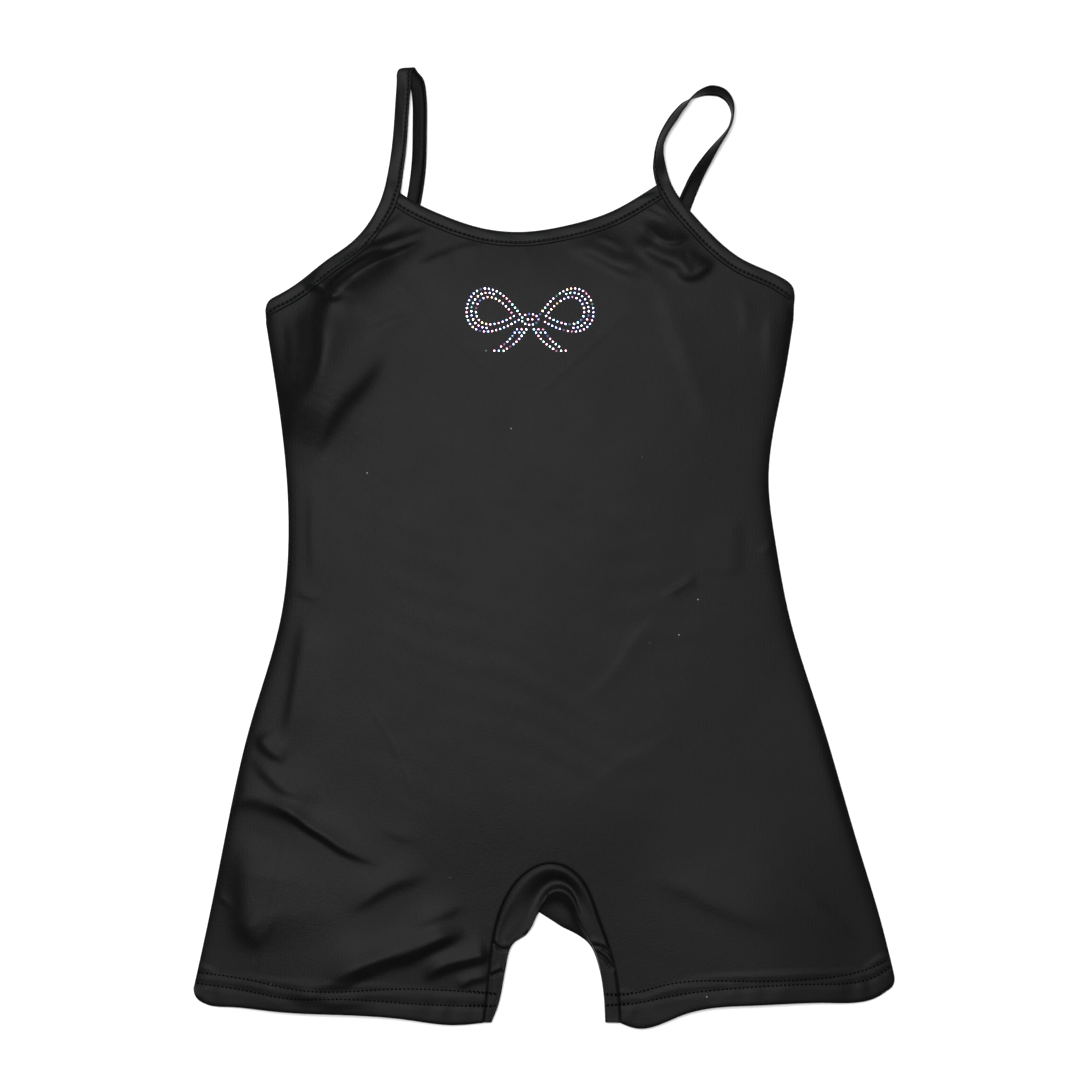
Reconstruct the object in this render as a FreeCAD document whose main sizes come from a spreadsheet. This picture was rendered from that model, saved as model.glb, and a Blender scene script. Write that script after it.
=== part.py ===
import FreeCAD, Part
import Sketcher
import math
import os

# A child's gymnastics biketard: a short one-piece suit with thin shoulder straps, laid flat with
# its front up.  Millimetres.  +X is the wearer's left, +Y runs from the leg hems to the straps and
# +Z goes up through the back layer and then the front layer.  The origin is under the middle.

Vector = FreeCAD.Vector
UP = Vector(0, 0, 1)
os.makedirs("parts", exist_ok=True)
doc = FreeCAD.newDocument("biketard")

# ---------------------------------------------------------------- driving dimensions

SIZES = {
    "fabric": 0.6,               # knit, one layer
    "binding_width": 9.4,        # folded edge binding, and the straps it runs into
    "binding_height": 1.8,       # fold over fold with the panel between
    "bite": 0.8,                 # how far a panel's raw edge stops short of the binding's fold
    "slot_reach": 1.5,           # the back panel's step, inside the binding's free edge
    "hem_depth": 20.0,           # turned-up leg hem
    "hem_row_low": 12.5,         # coverstitch rows, from the hem's fold
    "hem_row_high": 18.9,
    "seam_allowance": 6.0,
    "seam_height": 1.2,
    "seam_top": 132.0,           # where the side seams end, under the armhole bindings
    "thread_width": 0.5,
    "thread_height": 0.3,
    "stitch_inset": 6.7,         # binding stitch row, from the fold
    "side_gap": 2.0,             # underside of the front at the side seams
    "underarm_rise": 0.6,        # extra there, over the back armhole bindings
    "crown": 6.2,                # how much higher the middle of the front lies
    "strap_root_y": 226.0,       # where the straps leave the body of the suit
    "root_clearance": 0.3,       # on each side of that line
    "strap_thickness": 1.2,      # folded binding with the elastic inside
    "strap_bottom": 0.7,         # lowest the free loops and their tails lie
    "strap_stitch_offset": 3.0,  # strap stitch row, from the strap's middle
    "elastic_width": 6.4,        # band inside each strap
    "elastic_thickness": 0.5,
    "label_length": 46.0,
    "label_width": 30.0,
    "label_thickness": 0.3,
    "label_left": 94.6,          # X of its free end
    "label_lift": 0.65,          # just clear of the back panel
    "stone_radius": 1.0,
    "stone_table": 0.55,         # radius of a stone's flat top
    "stone_height": 0.75,
    "stone_pitch": 2.6,
    "glue": 0.12,                # between the cloth and a stone's flat back
}

sheet = doc.addObject("Spreadsheet::Sheet", "dims")
for row, (alias, value) in enumerate(SIZES.items(), start=1):
    sheet.set(f"A{row}", alias)
    sheet.set(f"B{row}", str(value))
    sheet.setAlias(f"B{row}", alias)
doc.recompute()


def size(alias):
    """A driving dimension, read from the sheet."""
    return float(getattr(sheet, alias))


# ---------------------------------------------------------------- plane curves and faces

# Outlines run anticlockwise seen from above, so that the suit is always on a curve's left.
OFFSET_STEPS = 14
EDGE_OUT = -6.0                  # strips along an edge start well outside it
RUN_ON = 12.0                    # and run on this far past its ends
FAR = 400.0


def smooth(*points):
    """One smooth curve through (x, y) points."""
    curve = Part.BSplineCurve()
    curve.interpolate([Vector(x, y, 0) for x, y in points])
    return curve


def straight(start, end):
    return Part.LineSegment(Vector(*start, 0), Vector(*end, 0))


def corner(start, middle, end):
    """A rounded corner: the arc through three points."""
    return Part.Arc(Vector(*start, 0), Vector(*middle, 0), Vector(*end, 0)).toBSpline()


def backwards(curve):
    turned = curve.copy()
    turned.reverse()
    return turned


def offset(curve, distance, run_on=0.0):
    """The curve moved to its left by a distance, with straight ends run on past its own."""
    first, last = curve.FirstParameter, curve.LastParameter
    points = []
    for step in range(OFFSET_STEPS + 1):
        at = first + (last - first) * step / OFFSET_STEPS
        along = curve.tangent(at)[0]
        inward = Vector(-along.y, along.x, 0).normalize()
        points.append(curve.value(at) + inward * distance)
    if run_on:
        points.insert(0, points[0] - curve.tangent(first)[0].normalize() * run_on)
        points.append(points[-1] + curve.tangent(last)[0].normalize() * run_on)
    moved = Part.BSplineCurve()
    moved.interpolate(points)
    return moved


def area(*curves):
    """The flat face inside curves laid end to end, with straight lines across any gaps."""
    edges = []
    for curve, following in zip(curves, curves[1:] + curves[:1]):
        edges.append(curve.toShape())
        end = curve.value(curve.LastParameter)
        start = following.value(following.FirstParameter)
        if end.distanceToPoint(start) > 1e-6:
            edges.append(Part.makeLine(end, start))
    return Part.Face(Part.Wire(edges))


def band(curve, near, far):
    """The flat strip from near to far mm inside a curve."""
    return area(offset(curve, near), backwards(offset(curve, far)))


def rim(curve, depth):
    """A strip from outside a curve to a depth inside it, longer than the curve at both ends."""
    return area(offset(curve, EDGE_OUT, RUN_ON), backwards(offset(curve, depth, RUN_ON)))


def limit(face, low=-FAR, high=FAR):
    """The part of a face between two values of Y."""
    return face.common(Part.makePlane(2 * FAR, high - low, Vector(-FAR, low, 0)))


ROOT = size("strap_root_y")
SUIT_TOP = ROOT - size("root_clearance")
WIDTH = size("binding_width")

side = {
    "left": smooth((219.6, -272), (210, -233), (195, -183), (173, -108), (153.5, -45),
                   (144, 5), (140, 42), (149.5, 105), (155.5, 142)),
    "right": smooth((-174, 140), (-168.5, 105), (-161, 42), (-160, 5), (-165, -45),
                    (-183, -108), (-200, -183), (-210, -233), (-219.6, -277)),
}
armhole = {
    "left": smooth((149, 168), (123.4, 180), (110, 190), (100, 200), (91, 210),
                   (84, 218.5), (79.7, 225), (77.2, 232)),
    "right": smooth((-97.4, 232), (-99.4, 225), (-103, 215), (-111.6, 200), (-121, 190),
                    (-135, 180), (-151, 167.4), (-167, 157.3)),
}
underarm = {
    "left": corner((156.3, 157), (154.8, 163.6), (149, 168)),
    "right": corner((-167, 157.3), (-172.6, 153.4), (-174.3, 148.5)),
}
underarm_end = {
    "left": straight((156, 152.8), (156.3, 157)),
    "right": straight((-174.3, 148.5), (-174.1, 143)),
}
front_neck = smooth((72, 227.6), (66.8, 224.3), (43, 210.3), (14, 201), (-12, 197), (-40, 199.5),
                    (-66, 208.5), (-89.3, 221), (-93, 224))
back_neck = smooth((64.5, 156.5), (31, 123), (1, 93), (-5, 88), (-11, 86), (-17, 88.5),
                   (-24, 96), (-56, 132), (-91.5, 172))
back_armhole = {
    "left": smooth((155.8, 146.5), (125, 144.6), (95, 146.6), (80, 149.6), (73.5, 152.6)),
    "right": smooth((-100.5, 175.4), (-108, 171), (-126, 162.6), (-150, 153.4), (-174.1, 146.5)),
}
hem = {
    "right": smooth((-219.6, -277), (-207, -286), (-128, -291), (-57, -298), (-36, -296.5)),
    "left": smooth((45, -296.5), (57, -300), (86, -291.6), (130, -285.4), (177, -284),
                   (207, -281), (219.6, -272)),
}
crotch_seam = smooth((-39, -310), (-38, -296.5), (-35, -270), (-32, -245), (-26.5, -225),
                     (-14, -205.5), (4, -197.3), (20, -204.2), (33, -230), (41.5, -254),
                     (46, -277), (47.2, -296.5), (47.5, -310))
crotch_fold = smooth((-35.4, -310), (-34.3, -296.3), (-28, -270), (-22, -249), (-12.5, -238.5),
                     (-4, -230), (6, -235), (20, -245), (30, -253), (35.4, -270),
                     (38, -296.3), (38.8, -310))

crotch_zone = area(crotch_seam)
front_silhouette = limit(area(side["left"], underarm["left"], armhole["left"], front_neck,
                              armhole["right"], underarm["right"], side["right"],
                              hem["right"], hem["left"]), high=SUIT_TOP)
back_silhouette = area(side["left"], back_armhole["left"], back_neck, back_armhole["right"],
                       side["right"], hem["right"], hem["left"])


def armhole_zone(which):
    """A front armhole binding's place: along the armhole and round the underarm corner."""
    edge = armhole[which]
    inside = backwards(offset(edge, WIDTH))
    if which == "left":
        zone = area(underarm_end[which], underarm[which], edge, inside)
    else:
        zone = area(edge, underarm[which], underarm_end[which], inside)
    return limit(zone, high=SUIT_TOP)


def without(face, *tools):
    for tool in tools:
        face = face.cut(tool)
    return face


front_armhole_zone = {which: armhole_zone(which) for which in ("left", "right")}
front_neck_zone = without(rim(front_neck, WIDTH).common(front_silhouette),
                          front_armhole_zone["left"], front_armhole_zone["right"])
back_armhole_zone = {which: rim(edge, WIDTH).common(back_silhouette)
                     for which, edge in back_armhole.items()}
back_neck_zone = without(rim(back_neck, WIDTH).common(back_silhouette),
                         back_armhole_zone["left"], back_armhole_zone["right"])

BITE = size("bite")
front_zone = limit(without(front_silhouette, crotch_zone,
                           rim(front_neck, BITE), rim(armhole["left"], BITE),
                           rim(armhole["right"], BITE)), high=SUIT_TOP - BITE)
back_bindings = (back_neck, back_armhole["left"], back_armhole["right"])
back_zone = without(back_silhouette, crotch_zone,
                    *[rim(edge, BITE) for edge in back_bindings])
back_flat_zone = without(back_zone, back_neck_zone, *back_armhole_zone.values())
tongues = [rim(edge, WIDTH + size("slot_reach")) for edge in back_bindings]
back_tongue_zone = back_zone.common(tongues[0].fuse(tongues[1:]).removeSplitter())

# The hems turn up parallel to their own folds, so everything above them is moved up and cut away.
above_hems = area(hem["right"], hem["left"], straight((FAR, -272), (FAR, FAR)),
                  straight((-FAR, FAR), (-FAR, -277)))
above_turn_up = above_hems.translated(Vector(0, size("hem_depth"), 0))
front_hem_zone = front_zone.cut(above_turn_up)
back_hem_zone = back_zone.cut(above_turn_up)
SEAM = size("seam_allowance")
side_seam_zone = {which: limit(rim(edge, SEAM).common(back_silhouette),
                               high=size("seam_top")).cut(back_hem_zone)
                  for which, edge in side.items()}
SEAM_LOW = -270.0                # the crotch seams stop above the turned-up hems
crotch_seam_zone = limit(band(crotch_seam, 0, SEAM).common(back_silhouette), low=SEAM_LOW)
FABRIC = size("fabric")
gusset_zone = area(crotch_seam, backwards(crotch_fold)).common(front_silhouette)
gusset_hollow_zone = area(offset(crotch_seam, SEAM), backwards(offset(crotch_fold, FABRIC)))


def stitch_zone(edge, inset, within):
    """A stitch row beside an edge, kept inside the given face."""
    return band(edge, inset, inset + size("thread_width")).common(within)


# ---------------------------------------------------------------- the crowned front surface

TORSO_BOTTOM, TORSO_TOP = -235.0, -150.0      # between these heights one mound turns into two
LEG_INNER = 38.0
LEG_FLOOR = 0.25                              # how much of the crown is left between the legs


def blend(value, start, end):
    """0 before start, 1 after end, and a smooth step between."""
    t = min(max((value - start) / (end - start), 0.0), 1.0)
    return t * t * (3 - 2 * t)


def middle(y):
    """The X of the suit's own centre line, which lies a little aslant."""
    return -10.0 * blend(y, -280, 0)


def half_width(y):
    """Half the suit's width and a little over, from the hems through the waist to the chest."""
    return 225.0 - 70.0 * blend(y, -290, 45) + 13.0 * blend(y, 60, 140)


def front_height(x, y):
    """The underside of the front panel above the floor."""
    across = abs(x - middle(y))
    torso = 1.0 - min(across / half_width(y), 1.05) ** 2
    in_leg = min(max((across - LEG_INNER) / (half_width(y) - LEG_INNER), 0.0), 1.0)
    leg = math.sin(math.pi * in_leg) ** 2
    if in_leg < 0.5:
        leg = LEG_FLOOR + (1 - LEG_FLOOR) * leg
    legs = blend(y, TORSO_TOP, TORSO_BOTTOM)
    crown = size("crown") * (1.0 - 0.9 * blend(y, 150, 228))
    edge = size("side_gap") + size("underarm_rise") * blend(y, 90, 130)
    return edge + crown * ((1 - legs) * torso + legs * leg)


GRID_X, GRID_Y = 25, 27
X_SPAN, Y_LOW, Y_HIGH = 236.0, -316.0, 240.0


def crown_face():
    """A smooth sheet through the front's heights, larger than the suit."""
    rows = []
    for i in range(GRID_X):
        x = -X_SPAN + 2 * X_SPAN * i / (GRID_X - 1)
        ys = [Y_LOW + (Y_HIGH - Y_LOW) * j / (GRID_Y - 1) for j in range(GRID_Y)]
        rows.append([Vector(x, y, front_height(x, y)) for y in ys])
    sheet_surface = Part.BSplineSurface()
    sheet_surface.interpolate(rows)
    return sheet_surface.toShape()


# ---------------------------------------------------------------- document helpers

pieces = {}


def helper(name, shape):
    """A construction shape that sub-parts are made from."""
    item = doc.addObject("Part::Feature", name)
    item.Shape = shape
    return item


def extrude(name, base, height, lift="0"):
    """A vertical extrusion whose height and lift are expressions on the sheet."""
    item = doc.addObject("Part::Extrusion", name)
    item.Base = base
    item.DirMode = "Custom"
    item.Dir = UP
    item.Solid = True
    item.setExpression("LengthFwd", height)
    item.setExpression("Placement.Base.z", lift)
    return item


crown = helper("crown_sheet", crown_face())
DEEP = "60"                      # taller than anything it is intersected with


def slab(name, thickness, lift):
    """A layer that follows the front's crown."""
    return extrude(name, crown, thickness, lift)


def prism(name, zone, height=DEEP, lift="-20"):
    """An upright block over a flat zone."""
    return extrude(name, helper(name + "_zone", zone), height, lift)


def boolean(kind, name, base, tool):
    item = doc.addObject("Part::" + kind, name)
    item.Base = base
    item.Tool = tool
    return item


def fuse(name, *shapes):
    item = doc.addObject("Part::MultiFuse", name)
    item.Shapes = list(shapes)
    return item


def piece(node, item):
    """Names a finished sub-part."""
    item.Label = node
    pieces[node] = item
    return item


def layer(name, zone, thickness, lift):
    """A piece of a crowned layer, cut to a flat zone."""
    return boolean("Common", name, slab(name + "_layer", thickness, lift),
                   prism(name + "_block", zone))


# ---------------------------------------------------------------- panels and gusset

front_body = layer("front_body", front_zone, "dims.fabric", "0")
front_turn_up = layer("front_turn_up", front_hem_zone, "dims.fabric", "-dims.fabric")
front_panel = piece("front_panel", fuse("front_fabric", front_body, front_turn_up))

back_body = prism("back_body", back_flat_zone, "dims.fabric", "0")
back_tongue = prism("back_tongue", back_tongue_zone, "dims.fabric", "dims.fabric")
back_turn_up = prism("back_turn_up", back_hem_zone, "dims.fabric", "dims.fabric")
back_panel = piece("back_panel", fuse("back_fabric", back_body, back_tongue, back_turn_up))


def gusset():
    """The crotch gusset: one piece folded along the open edge between the legs."""
    outer = boolean("Common", "gusset_outer", slab("gusset_outer_layer", DEEP, "-60 + dims.fabric"),
                    prism("gusset_block", gusset_zone, DEEP, "0"))
    hollow = boolean("Common", "gusset_hollow", slab("gusset_hollow_layer", DEEP, "-60"),
                     prism("gusset_hollow_block", gusset_hollow_zone, DEEP, "dims.fabric"))
    return boolean("Cut", "gusset_fabric", outer, hollow)


piece("crotch_gusset", gusset())

# ---------------------------------------------------------------- bindings and their stitching


def front_binding(node, zone):
    whole = layer(node + "_whole", zone, "dims.binding_height", "-dims.fabric")
    return piece(node, boolean("Cut", node + "_folded", whole, front_panel))


def back_binding(node, zone):
    whole = prism(node + "_whole", zone, "dims.binding_height", "0")
    return piece(node, boolean("Cut", node + "_folded", whole, back_panel))


ON_BINDING = "dims.binding_height - dims.fabric"
front_binding("front_neck_binding", front_neck_zone)
back_binding("back_neck_binding", back_neck_zone)
INSET = size("stitch_inset")
piece("front_neck_stitching",
      layer("front_neck_thread", stitch_zone(front_neck, INSET, front_neck_zone),
            "dims.thread_height", ON_BINDING))
piece("back_neck_stitching",
      prism("back_neck_thread", stitch_zone(back_neck, INSET, back_neck_zone),
            "dims.thread_height", "dims.binding_height"))
for which in ("left", "right"):
    front_binding(f"{which}_armhole_binding", front_armhole_zone[which])
    back_binding(f"{which}_back_armhole_binding", back_armhole_zone[which])
    front_row = stitch_zone(armhole[which], INSET, front_armhole_zone[which])
    back_row = stitch_zone(back_armhole[which], INSET, back_armhole_zone[which])
    piece(f"{which}_armhole_stitching",
          layer(f"{which}_armhole_thread", limit(front_row, high=SUIT_TOP - 1),
                "dims.thread_height", ON_BINDING))
    piece(f"{which}_back_armhole_stitching",
          prism(f"{which}_back_armhole_thread", back_row,
                "dims.thread_height", "dims.binding_height"))

# ---------------------------------------------------------------- care label


def care_label():
    """A blank tab sewn into the left side seam, lying on the back panel."""
    body = doc.addObject("PartDesign::Body", "label_body")
    sketch = body.newObject("Sketcher::SketchObject", "label_outline")
    plane = [item for item in body.Origin.OriginFeatures if item.Role == "XY_Plane"][0]
    sketch.AttachmentSupport = [(plane, "")]
    sketch.MapMode = "FlatFace"
    long, short = size("label_length"), size("label_width")
    corners = [Vector(0, 0, 0), Vector(long, 0, 0), Vector(long, short, 0), Vector(0, short, 0)]
    for start, end in zip(corners, corners[1:] + corners[:1]):
        sketch.addGeometry(Part.LineSegment(start, end), False)
    for index in range(4):
        sketch.addConstraint(Sketcher.Constraint("Coincident", index, 2, (index + 1) % 4, 1))
    for index, kind in enumerate(("Horizontal", "Vertical", "Horizontal", "Vertical")):
        sketch.addConstraint(Sketcher.Constraint(kind, index))
    sketch.addConstraint(Sketcher.Constraint("Coincident", 0, 1, -1, 1))
    long_side = sketch.addConstraint(Sketcher.Constraint("DistanceX", 0, 1, 0, 2, long))
    short_side = sketch.addConstraint(Sketcher.Constraint("DistanceY", 1, 1, 1, 2, short))
    sketch.setExpression(f"Constraints[{long_side}]", "dims.label_length")
    sketch.setExpression(f"Constraints[{short_side}]", "dims.label_width")
    pad = body.newObject("PartDesign::Pad", "label_cloth")
    pad.Profile = sketch
    pad.setExpression("Length", "dims.label_thickness")
    body.setExpression("Placement.Base.x", "dims.label_left")
    body.setExpression("Placement.Base.y", "-dims.label_width / 2")
    body.setExpression("Placement.Base.z", "dims.label_lift")
    return body


label = piece("care_label", care_label())

# ---------------------------------------------------------------- hem stitching and seams

for which in ("left", "right"):
    rows = [stitch_zone(hem[which], size(name), front_zone)
            for name in ("hem_row_low", "hem_row_high")]
    piece(f"{which}_hem_stitching",
          layer(f"{which}_hem_thread", rows[0].fuse(rows[1]), "dims.thread_height", "dims.fabric"))
    seam = boolean("Common", f"{which}_side_allowance",
                   slab(f"{which}_side_layer", DEEP, "-60"),
                   prism(f"{which}_side_block", side_seam_zone[which], DEEP, "dims.fabric"))
    if which == "left":
        seam = boolean("Cut", "left_side_round_label", seam, label)
    piece(f"{which}_side_seam", seam)
piece("front_gusset_seam",
      layer("front_gusset_allowance", crotch_seam_zone, "dims.seam_height", "-dims.seam_height"))
piece("back_gusset_seam",
      prism("back_gusset_allowance", crotch_seam_zone, "dims.seam_height", "dims.fabric"))

# ---------------------------------------------------------------- straps

# A ribbon's stations are (x, y, z, turn, tilt): its middle, the compass angle of its width
# and how far its inner edge is raised, in degrees.
LIFT = size("strap_bottom")
THICK = size("strap_thickness")
LOW = LIFT + THICK / 2                       # middle of a strap lying flat at its lowest
ROOT_HEIGHT = 3.35                           # middle of a strap where it leaves the front
LOOP_START = ROOT + size("root_clearance")
FOLD_RADIUS = 1.35                           # of the middle of the right strap, at its top
FOLD_HEIGHT = LOW + 2 * FOLD_RADIUS
FOLD_DRIFT = 1.6                             # its back half lies a little to one side
BACK_ROOT_TILT = 165                         # of the left strap's back half, where it is sewn


def on_edge(tilt):
    """Height of the middle of a strap that is tilted up on one edge."""
    return LOW + WIDTH / 2 * math.sin(math.radians(tilt))


def left_loop():
    """The left strap: a teardrop that stands half on edge."""
    stations = [(73.4, LOOP_START, ROOT_HEIGHT, 0, 0), (72.7, 231, ROOT_HEIGHT, 0, 8),
                (71.8, 237, 3.5, 0, 28)]
    around = [(71.3, 244, 0, 50), (71.9, 251, -8, 62), (75.2, 259.5, -24, 60),
              (80.8, 268.5, -34, 57), (87.2, 276.4, -42, 68), (95, 282.2, -62, 104),
              (104, 285, -82, 128), (111.4, 283.2, -112, 124), (116, 277.6, -145, 110),
              (117.3, 270.5, -172, 95), (115.4, 262.5, -198, 94), (110.4, 255, -212, 106),
              (104.8, 247.4, -212, 122), (99.6, 239.4, -206, 138), (95.2, 232, -198, 152)]
    for x, y, turn, tilt in around:
        stations.append((x, y, on_edge(tilt), turn, tilt))
    stations.append((92.6, LOOP_START, on_edge(BACK_ROOT_TILT), -180, BACK_ROOT_TILT))
    return stations


def left_tail_route():
    """From the loop's back end, under the front panel, to the back strap point."""
    return [(92.4, SUIT_TOP, on_edge(BACK_ROOT_TILT), -180, BACK_ROOT_TILT),
            (89.4, 219, LOW, -186, 180), (86, 210, LOW, -196, 180), (81.5, 196, LOW, -199, 180),
            (76.4, 179, LOW, -200, 180), (70.2, 157.6, LOW, -203.5, 180)]


def right_loop():
    """The right strap: folded over at the top, its two halves side by side."""
    stations = [(-94.2, LOOP_START, ROOT_HEIGHT, 0, 0), (-93.2, 233, ROOT_HEIGHT, -6, 0),
                (-91.6, 243, ROOT_HEIGHT, -7, 0), (-90.2, 256, ROOT_HEIGHT, -5, 0),
                (-89.2, 270, ROOT_HEIGHT, -3, 0), (-88.2, 284, FOLD_HEIGHT - 0.1, -2, 0),
                (-87.6, 293, FOLD_HEIGHT, -2, 0)]
    fold_y = 300.0 - THICK / 2 - size("thread_height") - FOLD_RADIUS
    for angle in (90, 45, 0, -45, -90):
        bend = math.radians(angle)
        stations.append((-87 + FOLD_DRIFT * (90 - angle) / 180,
                         fold_y + FOLD_RADIUS * math.cos(bend),
                         LOW + FOLD_RADIUS * (1 + math.sin(bend)), 0, 0))
    for x, y in ((-84, 292), (-81, 285), (-79.4, 275), (-79, 262), (-79, 248), (-79.3, 236)):
        stations.append((x, y, LOW, 0, 0))
    stations.append((-80, LOOP_START, LOW, 0, 0))
    return stations


def right_tail_route():
    return [(-80, SUIT_TOP, LOW, 0, 0), (-81.8, 216, LOW, -8, 0), (-85, 205, LOW, -14, 0),
            (-89.4, 192, LOW, -17, 0), (-95.6, 175.4, LOW, -20, 0)]


SPANS = 4                                    # ribbon sections for each station


def sections(stations, skip=0):
    """Middle, across and outward vectors along a ribbon, evenly between its stations."""
    path = Part.BSplineCurve()
    path.interpolate([Vector(*station[:3]) for station in stations])
    at = [path.parameter(Vector(*station[:3])) for station in stations]
    frames = []
    for index in range(SPANS * (len(stations) - 1) + 1):
        low = min(index // SPANS, len(stations) - 2)
        share = index / SPANS - low
        here = at[low] + (at[low + 1] - at[low]) * share
        turn, tilt = (math.radians(start + (end - start) * share)
                      for start, end in zip(stations[low][3:], stations[low + 1][3:]))
        across = Vector(math.cos(turn) * math.cos(tilt), math.sin(turn) * math.cos(tilt),
                        math.sin(tilt))
        outward = across.cross(path.tangent(here)[0]).normalize()
        frames.append((path.value(here), across, outward))
    return frames[skip:len(frames) - skip]


def ribbon(stations, width, thickness, sideways=0.0, outwards=0.0, skip=0):
    """A flat strip along its stations; it can run beside their middle or above their face."""
    outlines = []
    for point, across, outward in sections(stations, skip):
        centre = point + across * sideways + outward * outwards
        w, n = across * (width / 2), outward * (thickness / 2)
        corners = [centre - w - n, centre + w - n, centre + w + n, centre - w + n]
        outlines.append(Part.makePolygon(corners + corners[:1]))
    return Part.makeLoft(outlines, True, True)


def shaped_piece(node, shape):
    """A piece whose shape is worked out above, with its Placement after its Shape."""
    item = helper(node + "_shape", shape)
    item.Placement = FreeCAD.Placement()
    return piece(node, item)


strap_routes = {"left": (left_loop(), left_tail_route(), -1),
                "right": (right_loop(), right_tail_route(), 1)}
for which, (loop, tail, stitched_side) in strap_routes.items():
    solid = ribbon(loop, WIDTH, THICK)
    core = ribbon(loop, size("elastic_width"), size("elastic_thickness"), skip=2)
    shaped_piece(f"{which}_strap", solid.cut(core))
    shaped_piece(f"{which}_strap_elastic", core)
    shaped_piece(f"{which}_strap_tail", ribbon(tail, WIDTH, THICK))
    row_side = stitched_side * size("strap_stitch_offset")
    row_height = THICK / 2 + size("thread_height") / 2
    threads = [ribbon(loop, size("thread_width"), size("thread_height"), row_side, face)
               for face in (row_height, -row_height)]
    shaped_piece(f"{which}_strap_stitching", Part.makeCompound(threads))

# ---------------------------------------------------------------- stone bow

BOW_X, BOW_Y = -9.0, 142.0
LOOP_START_X = 5.0                           # a loop's point, beside the knot's middle
LOOP_REACH, LOOP_HEIGHT, LOOP_TILT = 35.0, 17.5, 12.0
LOOP_NARROWING, LOOP_LOWERING = 2.1, 1.25    # of each inner row, for each mm it is set in
LOOP_ROWS = 3                                # rows of stones in each loop and each tail
KNOT_REACH, KNOT_HEIGHT = 5.2, 3.4
STONE_SIDES = 8


def bow_loop(direction, inset):
    """One loop of the bow: a teardrop whose point is at the knot."""
    steps = 48
    points = []
    tilt = math.radians(LOOP_TILT) * direction
    for step in range(steps):
        turn = 2 * math.pi * step / steps
        swell = (1 - math.cos(turn)) / 2
        x = direction * (LOOP_START_X + inset + (LOOP_REACH - LOOP_NARROWING * inset) * swell)
        y = (LOOP_HEIGHT - LOOP_LOWERING * inset) * math.sin(turn) * math.sqrt(swell)
        points.append(Vector(x * math.cos(tilt) - y * math.sin(tilt),
                             x * math.sin(tilt) + y * math.cos(tilt), 0))
    return Part.makePolygon(points + points[:1])


def bow_tail(direction, shift):
    """One row of a tail, from under the knot outwards."""
    start = Vector(direction * (2.4 + shift), -6.2, 0)
    bend = Vector(direction * (8 + shift), -13.5, 0)
    end = Vector(direction * (16.5 + shift), -19.5, 0)
    curve = Part.BSplineCurve()
    curve.interpolate([start, bend, end])
    return curve.toShape()


def bow_knot():
    oval = Part.Ellipse(Vector(0, 0, 0), KNOT_REACH, KNOT_HEIGHT)
    return [Part.Wire(oval.toShape()), Part.makeLine(Vector(-1.3, 0, 0), Vector(1.4, 0, 0))]


def bow_points():
    """Where the stones sit: rows along the bow's lines, a pitch apart and never closer."""
    pitch = size("stone_pitch")
    rows = bow_knot()
    for direction in (-1, 1):
        rows += [bow_loop(direction, pitch * row) for row in range(LOOP_ROWS)]
        rows += [bow_tail(direction, pitch * 1.1 * row) for row in range(LOOP_ROWS)]
    spots = []
    for row in rows:
        count = max(2, round(row.Length / pitch) + 1)
        for spot in row.discretize(Number=count):
            if all(spot.distanceToPoint(other) > 0.9 * pitch for other in spots):
                spots.append(spot)
    return [spot + Vector(BOW_X, BOW_Y, 0) for spot in spots]


def stone():
    """A faceted stone: a flat back, sloping sides and a flat table."""
    rings = []
    for radius, height in ((size("stone_radius"), 0), (size("stone_table"), size("stone_height"))):
        corners = []
        for side_number in range(STONE_SIDES):
            turn = 2 * math.pi * side_number / STONE_SIDES
            corners.append(Vector(radius * math.cos(turn), radius * math.sin(turn), height))
        rings.append(Part.makePolygon(corners + corners[:1]))
    return Part.makeLoft(rings, True, True)


def ground_under(spot):
    """The highest place of the front under a stone."""
    reach = size("stone_radius")
    around = ((0, 0), (reach, 0), (-reach, 0), (0, reach), (0, -reach))
    return max(front_height(spot.x + dx, spot.y + dy) for dx, dy in around) + FABRIC


def stone_bow():
    one = stone()
    stones = [one.translated(spot + UP * (ground_under(spot) + size("glue")))
              for spot in bow_points()]
    return Part.makeCompound(stones)


shaped_piece("rhinestone_bow", stone_bow())

# ---------------------------------------------------------------- checks and files

doc.recompute()
for item in doc.Objects:
    if "Invalid" in item.State or "Error" in item.State:
        raise RuntimeError(f"{item.Name} failed: {item.State}")
whole = FreeCAD.BoundBox()
for node, item in pieces.items():
    shape = item.Shape
    if shape.isNull() or not shape.isValid() or not shape.Solids:
        raise RuntimeError(f"{node} is not a valid solid")
    whole.add(shape.optimalBoundingBox(False, False))
    shape.exportStep(f"parts/{node}.step")
    print(f"{node}: {len(shape.Solids)} solid(s), {shape.Volume:.0f} cubic mm")
print("box", whole)
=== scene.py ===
import math
import bpy
import numpy as np
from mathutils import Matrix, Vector
from mathutils.geometry import delaunay_2d_cdt


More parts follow.
